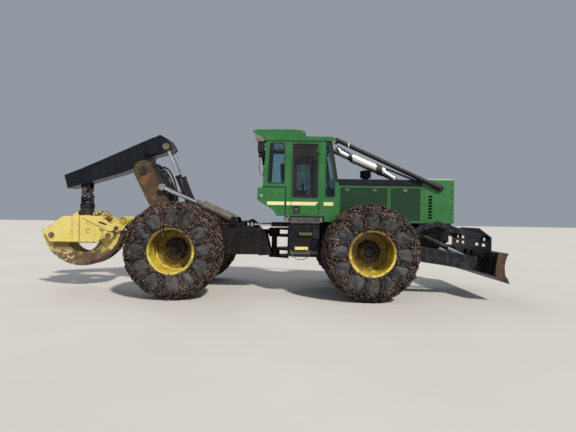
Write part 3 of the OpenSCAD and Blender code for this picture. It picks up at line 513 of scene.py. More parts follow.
# --- Cylinders --------------------------------------------------------------------------------
# Barrels painted black, with a gland collar round the rod; the rods are ground
# steel, hard chromed, filmed with oil.
cylinder_paint = worn_paint("cylinder_paint", (6, 6, 8), (13, 13, 15), (100, 80, 70), dust=0.1, splash=1.2, chips=0.6,
    gloss=0.3, shine=0.22, on="boom_barrels blade_barrels steer_barrel_right steer_barrel_left")
dusty_barrel = worn_paint("dusty_barrel", (22, 18, 15), (70, 56, 44), (220, 170, 130), dust=0.4, splash=2.6,
    chips=0.6, gloss=0.45, on="arch_barrels")
rod_chrome = worn_paint("rod_chrome", (720, 740, 780), (600, 620, 660), (300, 260, 220), dust=0.25, chips=0.1,
    edge=0.003, gloss=0.16, bumps=0.02, metal=1.0, on="arch_rods boom_rods blade_rods steer_rod_right steer_rod_left")


def collars(base, eye, y, stations, radius):
    """Rings round a barrel at the given distances from its base pin, chamfered at both ends."""
    base, eye = np.array(base) / 1000, np.array(eye) / 1000
    along = unit(eye - base)
    axis = np.array([along[0], 0, along[1]])
    start = np.array([base[0] + hinge_x, y, base[1]])
    half = 0.025
    rows = [(radius - 0.012, -half), (radius, -half + 0.004), (radius, half - 0.004), (radius - 0.012, half)]
    return joined(*[turned(rows, start + axis * s, axis, 32) for s in stations])


piece("arch_glands", both_sides(collars((-849, 1499), (-2370, 2175), -0.402, (0.3, 0.848), 0.085)), dusty_barrel,
    "arch_barrels")
piece("boom_glands", both_sides(collars((-1700, 1500), (-2338, 3050), -0.2136, (0.45, 0.99), 0.071)), cylinder_paint,
    "boom_barrels")
piece("blade_glands", both_sides(collars((3050, 1250), (4130, 760), -0.5, (0.615,), 0.064)), cylinder_paint,
    "blade_barrels")

# --- Cab shell --------------------------------------------------------------------------------
# Welded steel cab under a thick roof with a raised cowl, sprayed two-coat green,
# faded and dusty, with a plain pale yellow stripe along its sides. Black rubber
# seals its joints, and a black strip under the rear ledge is the ledge's painted
# shadow; it stands on rubber mounts and has a filler cap behind.
green_paint = worn_paint("green_paint", (12, 124, 24), (24, 158, 36), (100, 160, 80), dust=0.05, splash=1.2,
    chips=0.25, gloss=0.3, bumps=0.05, clear=0.35,
    on="cab cab_roof door_right door_left hood_panels radiator_housing")
tree = green_paint.node_tree
for x0, x1 in ((-0.133, 0.214), (0.258, 0.897), (1.011, 1.204)):
    overlay(green_paint, inside(tree, (x0, 0.775, 1.812), (x1, 0.784, 1.82)), (12, 14, 12))
    pale = blend(tree, patches(tree, 9, 0.4, 0.66), (800, 780, 400), (660, 630, 340))
    overlay(green_paint, inside(tree, (x0, 0.775, 1.82), (x1, 0.784, 1.891)), pale)
# The radiator housing's near top edge painted pale: a painted highlight where the sun lights it.
overlay(green_paint, inside(tree, (3.052, 0.596, 2.386), (None, None, None)), (550, 600, 500))
overlay(green_paint, inside(tree, (1.34, 0.608, None), (3.04, 0.6165, None), 0.0008), (10, 40, 15), 0.1)

# The front pillars and the band over the front side windows
slant = scaled(tree, object_point(tree, "Z"), 0.152, object_point(tree, "X"), clamp=False)
pillar = times(tree, ramp(tree, slant, 1.586 + hinge_x, 1.592 + hinge_x),
    inside(tree, (1.06, 0.72, 2.3), (None, None, 3.128)))
band = inside(tree, (1.046, 0.72, 3.034), (None, None, 3.128))
overlay(green_paint, maths(tree, "MAXIMUM", pillar, band), (8, 9, 10), 0.32)


def rounded(outline, radius, steps=5):
    """An outline with softened corners: at corner c the curve (1-t)^2 a + 2t(1-t) c + t^2 b, a and b
    set back by radius."""
    corner = np.asarray(outline, float)
    before, after = np.roll(corner, 1, 0) - corner, np.roll(corner, -1, 0) - corner
    before, after = radius * unit(before), radius * unit(after)
    t = np.linspace(0, 1, steps)[None, :, None]
    start, middle, end = (corner + before)[:, None], corner[:, None], (corner + after)[:, None]
    curve = (1 - t) ** 2 * start + 2 * t * (1 - t) * middle + t**2 * end
    return curve.reshape(-1, corner.shape[1])


def swept(path, profile, ref=(0, 1, 0), closed=False):
    """Carries a profile of (beside, over) pairs along a path; over leans to ref, beside is square
    to path and over."""
    path, profile = np.asarray(path, float), np.asarray(profile, float)
    ahead = unit(np.roll(path, -1, 0) - np.roll(path, 1, 0) if closed else np.gradient(path, axis=0))
    side = unit(np.cross(ahead, ref))
    over = np.cross(side, ahead)
    points = path[:, None] + profile[None, :, :1] * side[:, None] + profile[None, :, 1:] * over[:, None]
    count = len(profile)
    faces = grid_faces(len(path), count, wrap_rows=closed, wrap_columns=True)[:, ::-1].tolist()
    if not closed:
        faces += end_caps(count, len(path))
    return points.reshape(-1, 3), faces


def oval(width, height, sides=8):
    """A closed oval profile, width and height its half axes."""
    a = (np.arange(sides) + 0.5) * 2 * np.pi / sides
    return np.stack([width * np.cos(a), height * np.sin(a)], -1)


def frame_round(outline, y, depth, profile, soft=0.05):
    """A profile carried round an X-Z outline, drawn in by depth, at y on the right side."""
    return swept(upright(rounded(drawn_in(outline, depth), soft, 6), y), profile, (0, -1, 0), closed=True)


rear_pane = [(-0.13, 2.261), (0.214, 2.261), (0.214, 3.085), (-0.085, 3.085)]
front_pane = [(1.046, 1.993), (1.235, 1.993), (1.235, 2.26), (1.118, 3.028), (1.046, 3.028)]
seal_rubber, tree, shader = finish("seal_rubber", Roughness=0.62, Specular_IOR_Level=0.4)
feed(shader, Base_Color=blend(tree, patches(tree, 30, 0.4, 0.62), (6, 6, 7), (14, 14, 14)))
feed(shader, Normal=bumped(tree, patches(tree, 220, 0.2, 0.8), 0.2, 0.001))


def slanted_frame(low, high, half, depth, out):
    """Seal round a front or rear window, whose lower and upper edges are at the (x, z) points low and high."""
    low, high = np.array(low) + (hinge_x, 0), np.array(high) + (hinge_x, 0)
    tall, up = np.linalg.norm(high - low), unit(high - low)
    flat = drawn_in(rounded([(-half, 0), (half, 0), (half, tall), (-half, tall)], 0.06, 6), depth)
    path = np.stack([low[0] + up[0] * flat[:, 1], flat[:, 0], low[1] + up[1] * flat[:, 1]], -1)
    ref = (out * up[1], 0, -out * up[0])
    return swept(path, oval(0.013, 0.007), ref, closed=True)


seals_and_shade_strip = both_sides(
    frame_round(rear_pane, -0.779, 0.004, oval(0.011, 0.005)),
    frame_round(front_pane, -0.779, 0.004, oval(0.009, 0.005), 0.035),
    swept(row_of((0.236, -0.781, 1.625), (0.236, -0.781, 2.2), 3), oval(0.013, 0.006)),
    # A black strip under the rear window's ledge: the ledge's painted shadow line.
    swept(row_of((-0.222, -0.781, 2.186), (0.222, -0.781, 2.186), 3), oval(0.006, 0.009), (0, -1, 0)),
    swept(row_of((1.016, -0.781, 1.5), (1.016, -0.781, 1.625), 3), oval(0.008, 0.005)))
panes = joined(slanted_frame((1.286, 2.4), (1.178, 3.05), 0.69, 0.008, 1),
    slanted_frame((-0.227, 2.27), (-0.169, 3.05), 0.69, 0.008, -1))
piece("cab_seals_and_shade_strip", joined(seals_and_shade_strip, panes), seal_rubber, "front_frame", 60)
ledge = swept(row_of((-0.235, -0.786, 2.206), (0.205, -0.786, 2.206), 3), oval(0.013, 0.01, 10), (0, -1, 0))
piece("cab_ledges", both_sides(ledge), green_paint, "front_frame", 60)

mount_grey = worn_paint("mount_grey", (200, 200, 200), (300, 290, 280), (80, 60, 50), dust=0.4, splash=2.6, chips=0.4,
    gloss=0.5)
stack = [(0, 0), (0.03, 0.0), (0.052, 0.004), (0.052, 0.026), (0.04, 0.032), (0.04, 0.04), (0.056, 0.046),
    (0.056, 0.078), (0.034, 0.088), (0.034, 0.112), (0, 0.112)]
mounts = [turned(stack, (x + hinge_x, -0.7, 1.488), (0, 0, 1)) for x in (0.966, 0.262)]
piece("cab_mounts", both_sides(*mounts), mount_grey, "front_frame")
cap_rows = [(0.036, 0), (0.036, 0.012), (0.03, 0.02), (0.018, 0.024), (0, 0.025)]
roof_eyes = bolt_heads(from_hinge([(-0.41, -0.771, 3.322), (0.568, -0.771, 3.302), (-0.3, -0.801, 3.172)]), 0.016)
piece("cab_fittings", both_sides(turned(cap_rows, (-0.26 + hinge_x, -0.78, 2.0), (0, -1, 0), 20), roof_eyes),
    mount_grey, "front_frame")

# --- Doors ------------------------------------------------------------------------------------
# Steel doors hung on their front edges. A pressed rib runs round each; the
# latch is a black cup with a lighter paddle.
# Outlines of the door and of its glass, as seen from the right
door_edge = [(0.338, 1.628), (0.913, 1.628), (0.913, 3.1), (0.338, 3.1)]
door_pane = [(0.384, 1.984), (0.882, 1.984), (0.882, 3.062), (0.384, 3.062)]


def panel(x0, z0, x1, z1, soft):
    """A rectangle with softened corners, as an X-Z outline."""
    return rounded([(x0, z0), (x1, z0), (x1, z1), (x0, z1)], soft, 5)


latch_grey = worn_paint("latch_grey", (100, 100, 100), (160, 160, 150), (300, 280, 260), dust=0.3, chips=0.5,
    gloss=0.35, metal=0.4)
cup_edge = [(0.392, 1.648), (0.527, 1.648), (0.527, 1.806), (0.392, 1.806)]
cup = joined(plate(rounded(cup_edge, 0.02), -0.7835, -0.779),
    frame_round(cup_edge, -0.782, 0.004, oval(0.006, 0.006), 0.02))
paddle = joined(plate(panel(0.425, 1.7, 0.494, 1.762, 0.012), -0.796, -0.782),
    plate(panel(0.418, 1.668, 0.5, 1.682, 0.005), -0.79, -0.782))
rib = frame_round(door_edge, -0.78, 0.02, oval(0.007, 0.005), 0.03)
rubber = frame_round(door_pane, -0.779, -0.004, oval(0.013, 0.006), 0.02)
knobs = [(0.361, -0.78, z) for z in (2.05, 2.55, 3.02)] + [(0.902, -0.78, z) for z in (1.98, 2.45)]
knobs = bolt_heads(from_hinge(knobs), 0.009)
door_rows = (("rib", rib, green_paint, "green_paint"), ("seal", rubber, seal_rubber, "black_paint"),
    ("latch_cup", cup, seal_rubber, "black_paint"), ("latch", joined(paddle, knobs), latch_grey, "silencer_steel"))
for hand in hands:
    for name, shape, material, slot in door_rows:
        piece(f"door_{name}_{hand}", mirrored(shape) if hand == "left" else shape, material, f"door_{hand}")

# --- Guards, lamps and their lenses -----------------------------------------------------------
# Punched guard nets before the doors' glass and lamp housings at the roof's
# corners, painted satin black. The lenses are clear, domed a little, and an
# amber marker sits under the roof's overhang.
worn_paint("guard_black", (6, 7, 8), (14, 15, 16), (50, 40, 35), dust=0.1, splash=0.6, chips=0.3,
    gloss=0.42, shine=0.22, on="door_guard_right door_guard_left cab_lamps")
lens_clear, tree, shader = finish("lens_clear", Roughness=0.12, Coat_Weight=0.6)
ribs = add(tree, "TexWave", {"Vector": object_point(tree), "Scale": 26.0, "Distortion": 0.4}, bands_direction="Z")
feed(shader, Base_Color=blend(tree, ribs.outputs["Fac"], (420, 440, 440), (800, 820, 800)))
feed(shader, Normal=bumped(tree, ribs.outputs["Fac"], 0.3, 0.003))
lens_amber, tree, shader = finish("lens_amber", Roughness=0.3, Coat_Weight=0.4)
feed(shader, Base_Color=blend(tree, patches(tree, 40, 0.3, 0.7), (160, 105, 45), (270, 200, 110)))
round_lens = turned([(0.05, 0), (0.049, 0.006), (0.036, 0.013), (0.018, 0.017), (0, 0.018)],
    (-0.32 + hinge_x, -0.675, 2.845), (-1, 0, 0), 28)
ring = turned([(0.05, 0), (0.058, 0.002), (0.058, 0.01), (0.051, 0.012), (0.05, 0)], (-0.32 + hinge_x, -0.675, 2.845),
    (-1, 0, 0), 28)


def square_lens(x, y, z, half_y, half_z, out):
    """A lens with softened corners in a plane across the machine, domed by out along X: rings
    shrinking as it rises."""
    flat = rounded([(-half_y, -half_z), (half_y, -half_z), (half_y, half_z), (-half_y, half_z)],
        min(half_y, half_z) * 0.5, 5)
    levels = np.array([(1.0, 0.0), (0.97, 0.35), (0.8, 0.75), (0.45, 1.0)])
    size, rise, flat = levels[:, :1], levels[:, 1:], flat[None]
    rings = np.stack([x + hinge_x + out * rise + 0 * flat[..., 0], y + size * flat[..., 0], z + size * flat[..., 1]],
        -1)
    count = flat.shape[1]
    faces = grid_faces(4, count, wrap_columns=True).tolist() + [list(range(3 * count, 4 * count))]
    return rings.reshape(-1, 3), [face[::-1] for face in faces] if out < 0 else faces


rear_lens = square_lens(-0.34, -0.675, 3.0, 0.07, 0.08, -0.014)
roof_lens = square_lens(1.314, -0.45, 3.157, 0.06, 0.021, 0.01)
piece("lamp_lenses", both_sides(round_lens, rear_lens, roof_lens), lens_clear, "front_frame", 60)
piece("lamp_rings", both_sides(ring), rod_chrome, "front_frame", 60)
amber = plate(panel(-0.385, 3.104, -0.215, 3.16, 0.012), -0.792, -0.768, 0.006)
piece("roof_markers", both_sides(amber), lens_amber, "front_frame")


def through(knots):
    """A smooth line through knots given from the frame hinge. Each span from b to c, with a before and d after, is
    the cubic 0.5 (2b + (c - a) t + (2a - 5b + 4c - d) t^2 + (3b - a - 3c + d) t^3)."""
    p = from_hinge(knots)
    p = np.vstack([2 * p[0] - p[1], p, 2 * p[-1] - p[-2]])
    t = np.linspace(0, 1, 10, endpoint=False)[None, :, None]
    a, b, c, d = (p[i : len(p) - 3 + i, None] for i in range(4))
    line = 0.5 * (2 * b + (c - a) * t + (2 * a - 5 * b + 4 * c - d) * t**2 + (3 * b - a - 3 * c + d) * t**3)
    return np.vstack([line.reshape(-1, 3), p[-2]])


def hose(name, knots, radius, body):
    """A black hose or cable along a smooth line, both ends fast on the machine."""
    path = through(knots)
    made = piece(name, swept(path, oval(radius, radius, 10)), seal_rubber, body, 60)


for hand, sign in hands.items():
    knots = [(-0.3, 0.675, 2.794), (-0.304, 0.688, 2.66), (-0.305, 0.694, 2.55), (-0.289, 0.699, 2.474),
        (-0.252, 0.703, 2.432), (-0.213, 0.705, 2.418)]
    hose(f"lamp_cable_{hand}", np.array(knots) * (1, sign, 1), 0.006, "front_frame")

# --- Glass ------------------------------------------------------------------------------------
# Flat tinted safety glass, glued into the openings and hazy in patches, where the
# wiping has left a film of dust.
window_glass, tree, shader = finish(
    "window_glass", Base_Color=(0.5, 0.7, 0.76, 1), Transmission_Weight=1.0, Roughness=0.03, IOR=1.45
)
feed(shader, Roughness=times(tree, patches(tree, 3.5, 0.45, 0.8), 0.25))
coat(window_glass, "cab_glass", "door_glass_right", "door_glass_left")

# --- Seat cushions ----------------------------------------------------------------------------
# Two foam cushions in black woven cloth with piped edges and sewn channels. They lie on the seat's
# tray and against its back, held by their own covers.
seat_fabric, tree, shader = finish("seat_fabric", Roughness=0.9, Sheen_Weight=0.3)
where = object_point(tree)
weave = add(tree, "TexWave", {"Vector": where, "Scale": 160.0, "Distortion": 1.2, "Detail": 1.0}).outputs["Fac"]
cross = add(tree, "TexWave", {"Vector": where, "Scale": 150.0, "Distortion": 1.0}, bands_direction="Y").outputs["Fac"]
woven = scaled(tree, weave, 0.5, times(tree, cross, 0.5))
cloth = blend(tree, woven, (10, 10, 12), (35, 35, 38))
feed(shader, Base_Color=blend(tree, times(tree, patches(tree, 6, 0.45, 0.75), 0.3), cloth, dust_tone))
feed(shader, Normal=bumped(tree, woven, 0.5, 0.0015))


def cushion(corners, half, crown, channels):
    """A closed pad. corners is its side outline in X-Z, anticlockwise from the foot, as four points. The grid runs
    u over the width and v round the section: a superellipse in the unit square, cos v and sin v to the power 0.42,
    drawn in at both sides by sqrt(1 - u^10), crowned by 1 - u^2 on the face, creased where a channel is sewn, and
    mapped onto the corners."""
    rows, columns = 41, 72
    u = np.sin(np.linspace(-np.pi / 2, np.pi / 2, rows))[:, None]
    v = np.arange(columns) * 2 * np.pi / columns
    flat = np.sqrt(1 - np.abs(u) ** 10 * 0.999)
    power = 0.42
    a = np.sign(np.cos(v)) * np.abs(np.cos(v)) ** power * (0.35 + 0.65 * flat)
    b = np.sign(np.sin(v)) * np.abs(np.sin(v)) ** power * (0.12 + 0.88 * flat)
    groove = sum(np.exp(-(((a - c) / 0.035) ** 2)) for c in channels)
    b = np.where(b > 0, b * (1 - 0.1 * groove) + crown * (1 - u**2) * (1 - a**2), b)
    s, t = (a + 1) / 2, (b + 1) / 2
    shares = ((1 - s) * (1 - t), s * (1 - t), s * t, (1 - s) * t)
    x, z = (sum(share * corner[i] for share, corner in zip(shares, corners)) for i in (0, 1))
    points = from_hinge(np.stack([x, half * (u + 0 * v), z], -1).reshape(-1, 3))
    faces = grid_faces(rows, columns, wrap_columns=True)[:, ::-1].tolist()
    return points, faces + end_caps(columns, rows)


seat_pad = cushion([(0.3, 1.941), (0.765, 1.941), (0.772, 2.05), (0.3, 2.035)], 0.245, 0.1, (-0.45, 0.0, 0.45))
back_pad = cushion([(0.262, 1.95), (0.205, 2.745), (0.1, 2.745), (0.158, 1.95)], 0.23, 0.0, (-0.6, -0.2, 0.2, 0.6))
for name, shape in (("base", seat_pad), ("back", back_pad)):
    made = piece(f"seat_{name}_cushion", shape, seat_fabric, "front_frame", 60)
    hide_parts("seat_cushions")

# --- Hood and radiator housing ----------------------------------------------------------------
# Green side panels under a black cover; rounded pull latches on the panels,
# bolts along the cover, a black fan core behind.
hood_black = worn_paint("hood_black", (6, 7, 11), (11, 13, 18), (50, 45, 40), dust=0.04, splash=0.6, chips=0.15,
    gloss=0.36, shine=0.22, on="hood_cover")
worn_paint("core_black", (10, 10, 10), (22, 21, 20), (60, 50, 40), dust=0.2, splash=1.2, chips=0.3,
    gloss=0.5, shine=0.22, on="grille")
pulls = [
    joined(
        plate(panel(x - 0.045, z - 0.03, x + 0.045, z + 0.03, 0.018), -0.63, -0.618, 0.004),
        plate(panel(x - 0.026, z - 0.012, x + 0.026, z + 0.012, 0.008), -0.638, -0.629, 0.003))
    for x, z in ((2.066, 2.15), (2.7, 2.155), (1.5, 2.15))]
piece("hood_pulls", both_sides(*pulls), latch_grey, "front_frame")
edge_bolts = np.concatenate([row_of((1.42, -0.62, 2.3), (2.98, -0.62, 2.3), 9),
    row_of((3.1, -0.62, 1.54), (3.1, -0.62, 2.34), 6), row_of((3.66, -0.62, 1.54), (3.66, -0.62, 2.3), 6)])
piece("hood_bolts", both_sides(bolt_heads(edge_bolts, 0.01)), bolt_steel, "front_frame")
# A pale bead along the housing's top edge: a painted highlight of its sunlit edge.
highlight_bead = swept(row_of((3.06, -0.612, 2.401), (3.7, -0.612, 2.401), 4), oval(0.008, 0.005))
piece("housing_highlight_bead", both_sides(highlight_bead), mount_grey, "front_frame")

# --- Exhaust and brush guard ------------------------------------------------------------------
# Stainless silencer along the hood, browned by heat at the joints, its pipes
# sleeved and clamped; the guard's rails are black tube with a bright band where
# a clamp has rubbed.
silencer_steel = worn_paint("silencer_steel", (920, 910, 880), (800, 770, 720), (300, 230, 170), dust=0.05,
    chips=0.15, gloss=0.34, bumps=0.03, metal=1.0, on="exhaust")
tree = silencer_steel.node_tree
overlay(silencer_steel, inside(tree, (2.15, None, None), (2.29, None, None), 0.012), (30, 26, 24), 0.55, 0.3)
overlay(silencer_steel, inside(tree, (1.56, None, None), (1.65, None, None), 0.004), (20, 18, 16), 0.5, 0.3)
overlay(silencer_steel, times(tree, inside(tree, (1.65, None, None), (2.33, None, 2.66)), patches(tree, 5, 0.5, 0.8)),
    (300, 220, 150), 0.45)
brace = swept(from_hinge([(1.3, -0.62, 3.05), (1.6, -0.36, 2.93)]), oval(0.014, 0.014, 10), (0, 0, 1))
strut = swept(from_hinge([(2.27, -0.25, 2.69), (3.13, -0.25, 2.36)]), oval(0.026, 0.026, 12))
piece("exhaust_braces", joined(brace, strut), hood_black, "front_frame", 60)
guard_paint = worn_paint("guard_paint", (6, 6, 8), (13, 13, 15), (70, 60, 50), dust=0.08, splash=0.6, chips=0.55,
    gloss=0.4, shine=0.22, on="brush_guard")
overlay(guard_paint, inside(guard_paint.node_tree, (1.5, 0.6, None), (1.522, 0.76, None)), (700, 700, 680), 0.3)

# --- Side boxes and steps ---------------------------------------------------------------------
# Tank and box beside the frame under each door, black; the platform on top is
# grey with dust, the steps' strips yellow.
box_black = worn_paint("box_black", (4, 4, 7), (9, 9, 13), (60, 50, 45), dust=0.06, splash=1.1, chips=0.3, gloss=0.4,
    shine=0.22, on="side_steps")
tree = box_black.node_tree
step_grey = blend(tree, patches(tree, 7, 0.36, 0.64), (35, 35, 34), (105, 101, 95))
overlay(box_black, inside(tree, (None, None, 1.455), (None, None, 1.58)), step_grey, 0.75)
overlay(box_black, inside(tree, (0.518, 0.802, 1.214), (0.786, None, 1.272)), (130, 115, 22), 0.5)
overlay(box_black, inside(tree, (0.79, 0.802, 1.14), (None, None, 1.332)), (18, 18, 32), 0.5)
strip = blend(tree, patches(tree, 16, 0.4, 0.6), (860, 760, 260), (550, 460, 130))
overlay(box_black, inside(tree, (0.41, 0.802, 0.918), (0.72, None, 0.986)), strip, 0.5)
overlay(box_black, times(tree, inside(tree, (None, 0.805, None), (None, None, 1.09)),
    inside(tree, (None, None, None), (None, 0.835, 0.918))), (160, 155, 150), 0.4, 0.5)
lid_bolts = np.concatenate([row_of((0.36, -0.808, 1.11), (0.36, -0.808, 1.38), 3),
    row_of((0.485, -0.808, 1.11), (0.485, -0.808, 1.38), 3), row_of((0.34, -0.82, 1.515), (0.86, -0.82, 1.515), 4)])
lids = joined(plate(panel(0.345, 1.09, 0.5, 1.4, 0.015), -0.808, -0.799),
    plate(panel(0.345, 0.83, 0.9, 0.9, 0.01), -0.806, -0.799), bolt_heads(lid_bolts, 0.011))
piece("side_box_lids", both_sides(lids), box_black, "front_frame")

# --- Blade ------------------------------------------------------------------------------------
# Curved mouldboard of thick plate, its paint long gone from the face and the
# ends: brown rust with scoured patches. The slotted guard, the back and the
# arms keep their black. A bolted cutting edge runs along the foot.
blade_rust = worn_paint("blade_rust", (52, 24, 13), (78, 40, 23), (180, 130, 100), dust=0.06, shine=0.3, splash=1.0,
    chips=0.7, edge=0.01, gloss=0.62, bumps=0.5, on="blade")
tree = blade_rust.node_tree


def facing_of(tree, axis):
    """How far the surface faces along an axis."""
    return add(tree, "SeparateXYZ", {"Vector": add(tree, "NewGeometry").outputs["Normal"]}).outputs[axis]


def arc(x, z, radius, turn):
    """X-Z points on a circle at these angles."""
    return np.stack([x + radius * np.cos(turn), z + radius * np.sin(turn)], -1)


forward = ramp(tree, facing_of(tree, "X"), 0.2, 0.45)
rusty = maths(tree, "MAXIMUM", times(tree, forward, inside(tree, (None, None, None), (None, None, 0.955))),
    inside(tree, (4.245, 1.335, None), (None, None, None)))
kept = less(tree, rusty)
slate = blend(tree, patches(tree, 6, 0.42, 0.66), (5, 5, 7), (16, 15, 17))
overlay(blade_rust, times(tree, kept, less(tree, times(tree, patches(tree, 14, 0.6, 0.68), 0.35))), slate, 0.45)
overlay(blade_rust, times(tree, inside(tree, (4.38, None, None), (None, None, 0.52), 0.03),
    patches(tree, 8, 0.3, 0.6)), (20, 15, 13), 0.5)
arm_black = worn_paint("arm_black", (7, 8, 12), (13, 15, 21), (120, 120, 120), dust=0.06, splash=0.9, chips=0.45,
    edge=0.008, gloss=0.42, shine=0.22, on="blade_arms")
tree = arm_black.node_tree
# Upward faces of the arms painted light grey: dust, and a painted highlight where the sun lights their tops.
dusty_lit_tops = ramp(tree, facing_of(tree, "Z"), 0.7, 0.92)
overlay(arm_black, times(tree, dusty_lit_tops, 0.8), (160, 160, 160), 0.45)
# The mouldboard's face is an arc in X-Z: its centre, its radius, and the radius of the cutting edge's front
curve_x, curve_z, face_r, edge_r = 4.9767, 0.665, 0.5655, 0.543
theta = np.radians(np.linspace(211.5, 199.0, 7))
theta, bend = np.concatenate([theta, theta[::-1]]), np.repeat([face_r, edge_r], 7)
edge_line = arc(curve_x, curve_z, bend, theta)
cut_edge = plate(edge_line[::-1], -1.35, 1.35, 0.003)
at = math.radians(204.5)
bolt_x, bolt_z = arc(curve_x, curve_z, edge_r, at)
cut_bolts = bolt_heads(row_of((bolt_x, -1.25, bolt_z), (bolt_x, 1.25, bolt_z), 15), 0.02,
    (-math.cos(at), 0, -math.sin(at)))
edge_steel = worn_paint("edge_steel", (26, 18, 14), (55, 36, 26), (340, 310, 290), dust=0.1, splash=0.7, chips=0.9,
    edge=0.012, gloss=0.5, bumps=0.3, metal=0.6)
piece("cutting_edge", joined(cut_edge, cut_bolts), edge_steel, "blade")
piece("blade_keepers", both_sides(keeper(2.48, -0.706, 0.905, 0.08), keeper(4.13, -0.578, 0.76, 0.045)), bolt_steel,
    "blade")

# --- Arch -------------------------------------------------------------------------------------
# Welded arch arms, rubbed by logs down to tan, rusty steel, with keepers over
# the pins at their heads.
rusty_arch = worn_paint("rusty_arch", (62, 38, 20), (98, 64, 36), (30, 21, 15), dust=0.05, shine=0.3, splash=0.9,
    chips=0.8, edge=0.01, gloss=0.6, bumps=0.35, on="arch")
tree = rusty_arch.node_tree
ragged = noise(tree, 9)
for x, z, reach in ((-2.79, 2.33, 0.13), (-2.585, 1.95, 0.09)):
    spot = ramp(tree, scaled(tree, ragged, 0.2, away_from(tree, x, z), clamp=False), reach + 0.1, reach + 0.02)
    overlay(rusty_arch, times(tree, spot, 0.75), (230, 85, 34), 0.75)
slant = scaled(tree, object_point(tree, "Z"), 0.45, object_point(tree, "X"), clamp=False)
greasy = ramp(tree, scaled(tree, ragged, 0.16, slant, clamp=False), -1.385 + hinge_x, -1.325 + hinge_x)
overlay(rusty_arch, times(tree, patches(tree, 4.2, 0.54, 0.64), 0.5), (200, 135, 80), 0.7)
overlay(rusty_arch, times(tree, greasy, 0.85), (13, 11, 10), 0.4)
high_up = inside(tree, (None, None, 2.3), (None, None, None), 0.1)
overlay(rusty_arch, times(tree, patches(tree, 5, 0.52, 0.66), high_up), (35, 30, 24), 0.5)
piece("arch_keepers", both_sides(keeper(-2.8, -0.332, 2.53, 0.095), keeper(-1.7, -0.32, 1.5, 0.055)), bolt_steel,
    "arch")
arch_hoses = (
    ([(-2.63, 0.27, 2.64), (-2.54, 0.272, 2.618), (-2.45, 0.275, 2.525), (-2.375, 0.278, 2.385), (-2.3, 0.28, 2.2),
        (-2.25, 0.285, 2.0), (-2.24, 0.288, 1.81)], 0.017),
    ([(-2.64, 0.275, 2.655), (-2.53, 0.266, 2.662), (-2.41, 0.262, 2.59), (-2.32, 0.262, 2.43), (-2.255, 0.262, 2.22),
        (-2.215, 0.265, 1.98), (-2.222, 0.268, 1.75)], 0.02),
    ([(-2.61, 0.29, 2.6), (-2.48, 0.296, 2.52), (-2.42, 0.298, 2.36), (-2.335, 0.298, 2.22), (-2.325, 0.294, 2.07)],
        0.016))
for number, (knots, radius) in enumerate(arch_hoses, 1):
    for hand, sign in hands.items():
        hose(f"arch_hose_{number}_{hand}", np.array(knots) * (1, sign, 1), radius, "arch")

# --- Boom -------------------------------------------------------------------------------------
# Box boom of black plate, bent down over the arch, with weld beads along its
# edges and its doublers and worn pins.
boom_black = worn_paint("boom_black", (4, 6, 10), (8, 11, 17), (50, 45, 40), dust=0.02, splash=0.6, chips=0.2,
    gloss=0.34, shine=0.22, on="boom")


def bead(points, y, radius=0.007):
    """A weld bead along X-Z points at y: its round section swells and shrinks a little along the run."""
    points = np.asarray(points, float)
    run = run_along(points)
    at = np.linspace(0, run[-1], max(6, int(run[-1] / 0.02)))
    path = upright(np.stack([np.interp(at, run, points[:, 0]), np.interp(at, run, points[:, 1])], -1), y)
    shape, faces = swept(path, oval(radius, radius * 0.7, 6), (0, -1, 0))
    swell = 1 + 0.18 * np.sin(np.arange(len(path)) * 2.4)
    return np.repeat(path, 6, 0) + (shape - np.repeat(path, 6, 0)) * np.repeat(swell, 6)[:, None], faces


boom_welds = joined(
    bead([(-2.656, 2.9), (-2.668, 3.2)], -0.285),
    bead([(-4.145, 2.575), (-3.4, 2.905)], -0.2),
    bead([(-4.46, 2.145), (-3.34, 2.478)], -0.2),
    bead([(-3.33, 2.5), (-3.33, 2.91), (-2.96, 3.08)], -0.208),
    bead([(-4.4, 2.25), (-4.18, 2.3), (-4.18, 2.49)], -0.208, 0.006))
piece("boom_welds", both_sides(boom_welds), boom_black, "boom", 60)
pin_rust = worn_paint("pin_rust", (115, 60, 35), (190, 110, 65), (340, 300, 260), dust=0.25, chips=0.7, gloss=0.5,
    metal=0.3, bumps=0.3)
piece("boom_pins", both_sides(keeper(-2.338, -0.284, 3.05, 0.075), keeper(-4.13, -0.142, 2.11, 0.05)), pin_rust,
    "boom")

# --- Grapple ----------------------------------------------------------------------------------
# Yellow fabricated head and crescent tongs, paint pale with sun, scraped to
# brown and bare steel along the wearing arcs. Weld beads and slots show on the
# side plates; small plated fittings feed the rotator.
grapple_yellow = worn_paint("grapple_yellow", (660, 520, 115), (740, 620, 200), (170, 105, 55), dust=0.3, splash=0.9,
    chips=0.9, edge=0.01, gloss=0.42, bumps=0.2, on="swing_link grapple_frame")
# The rotator's upright line, from the frame hinge
grapple_x = -4.13
tree = grapple_yellow.node_tree
overlay(grapple_yellow, times(tree, inside(tree, (None, 0.3, 0.96), (None, None, 0.992), 0.008),
    patches(tree, 12, 0.36, 0.5)), (130, 65, 35), 0.7)
overlay(grapple_yellow, ramp(tree, away_from(tree, grapple_x + 0.768, 1.283), 0.056, 0.05), (100, 45, 28), 0.65)
overlay(grapple_yellow, ramp(tree, away_from(tree, grapple_x + 0.91, 1.444), 0.084, 0.081), (420, 270, 30), 0.6)
overlay(grapple_yellow, times(tree, inside(tree, (grapple_x + 0.02, None, 1.503), (grapple_x + 0.6, 0.1, None)),
    patches(tree, 18, 0.4, 0.55)), (150, 55, 30), 0.65)
neck = maths(tree, "MAXIMUM", inside(tree, (None, None, 1.75), (None, None, None), 0.02),
    inside(tree, (grapple_x - 0.17, 0, 1.556), (grapple_x + 0.17, 0.19, None)))
overlay(grapple_yellow, neck, blend(tree, patches(tree, 15, 0.4, 0.65), (8, 7, 7), (40, 30, 20)), 0.5)
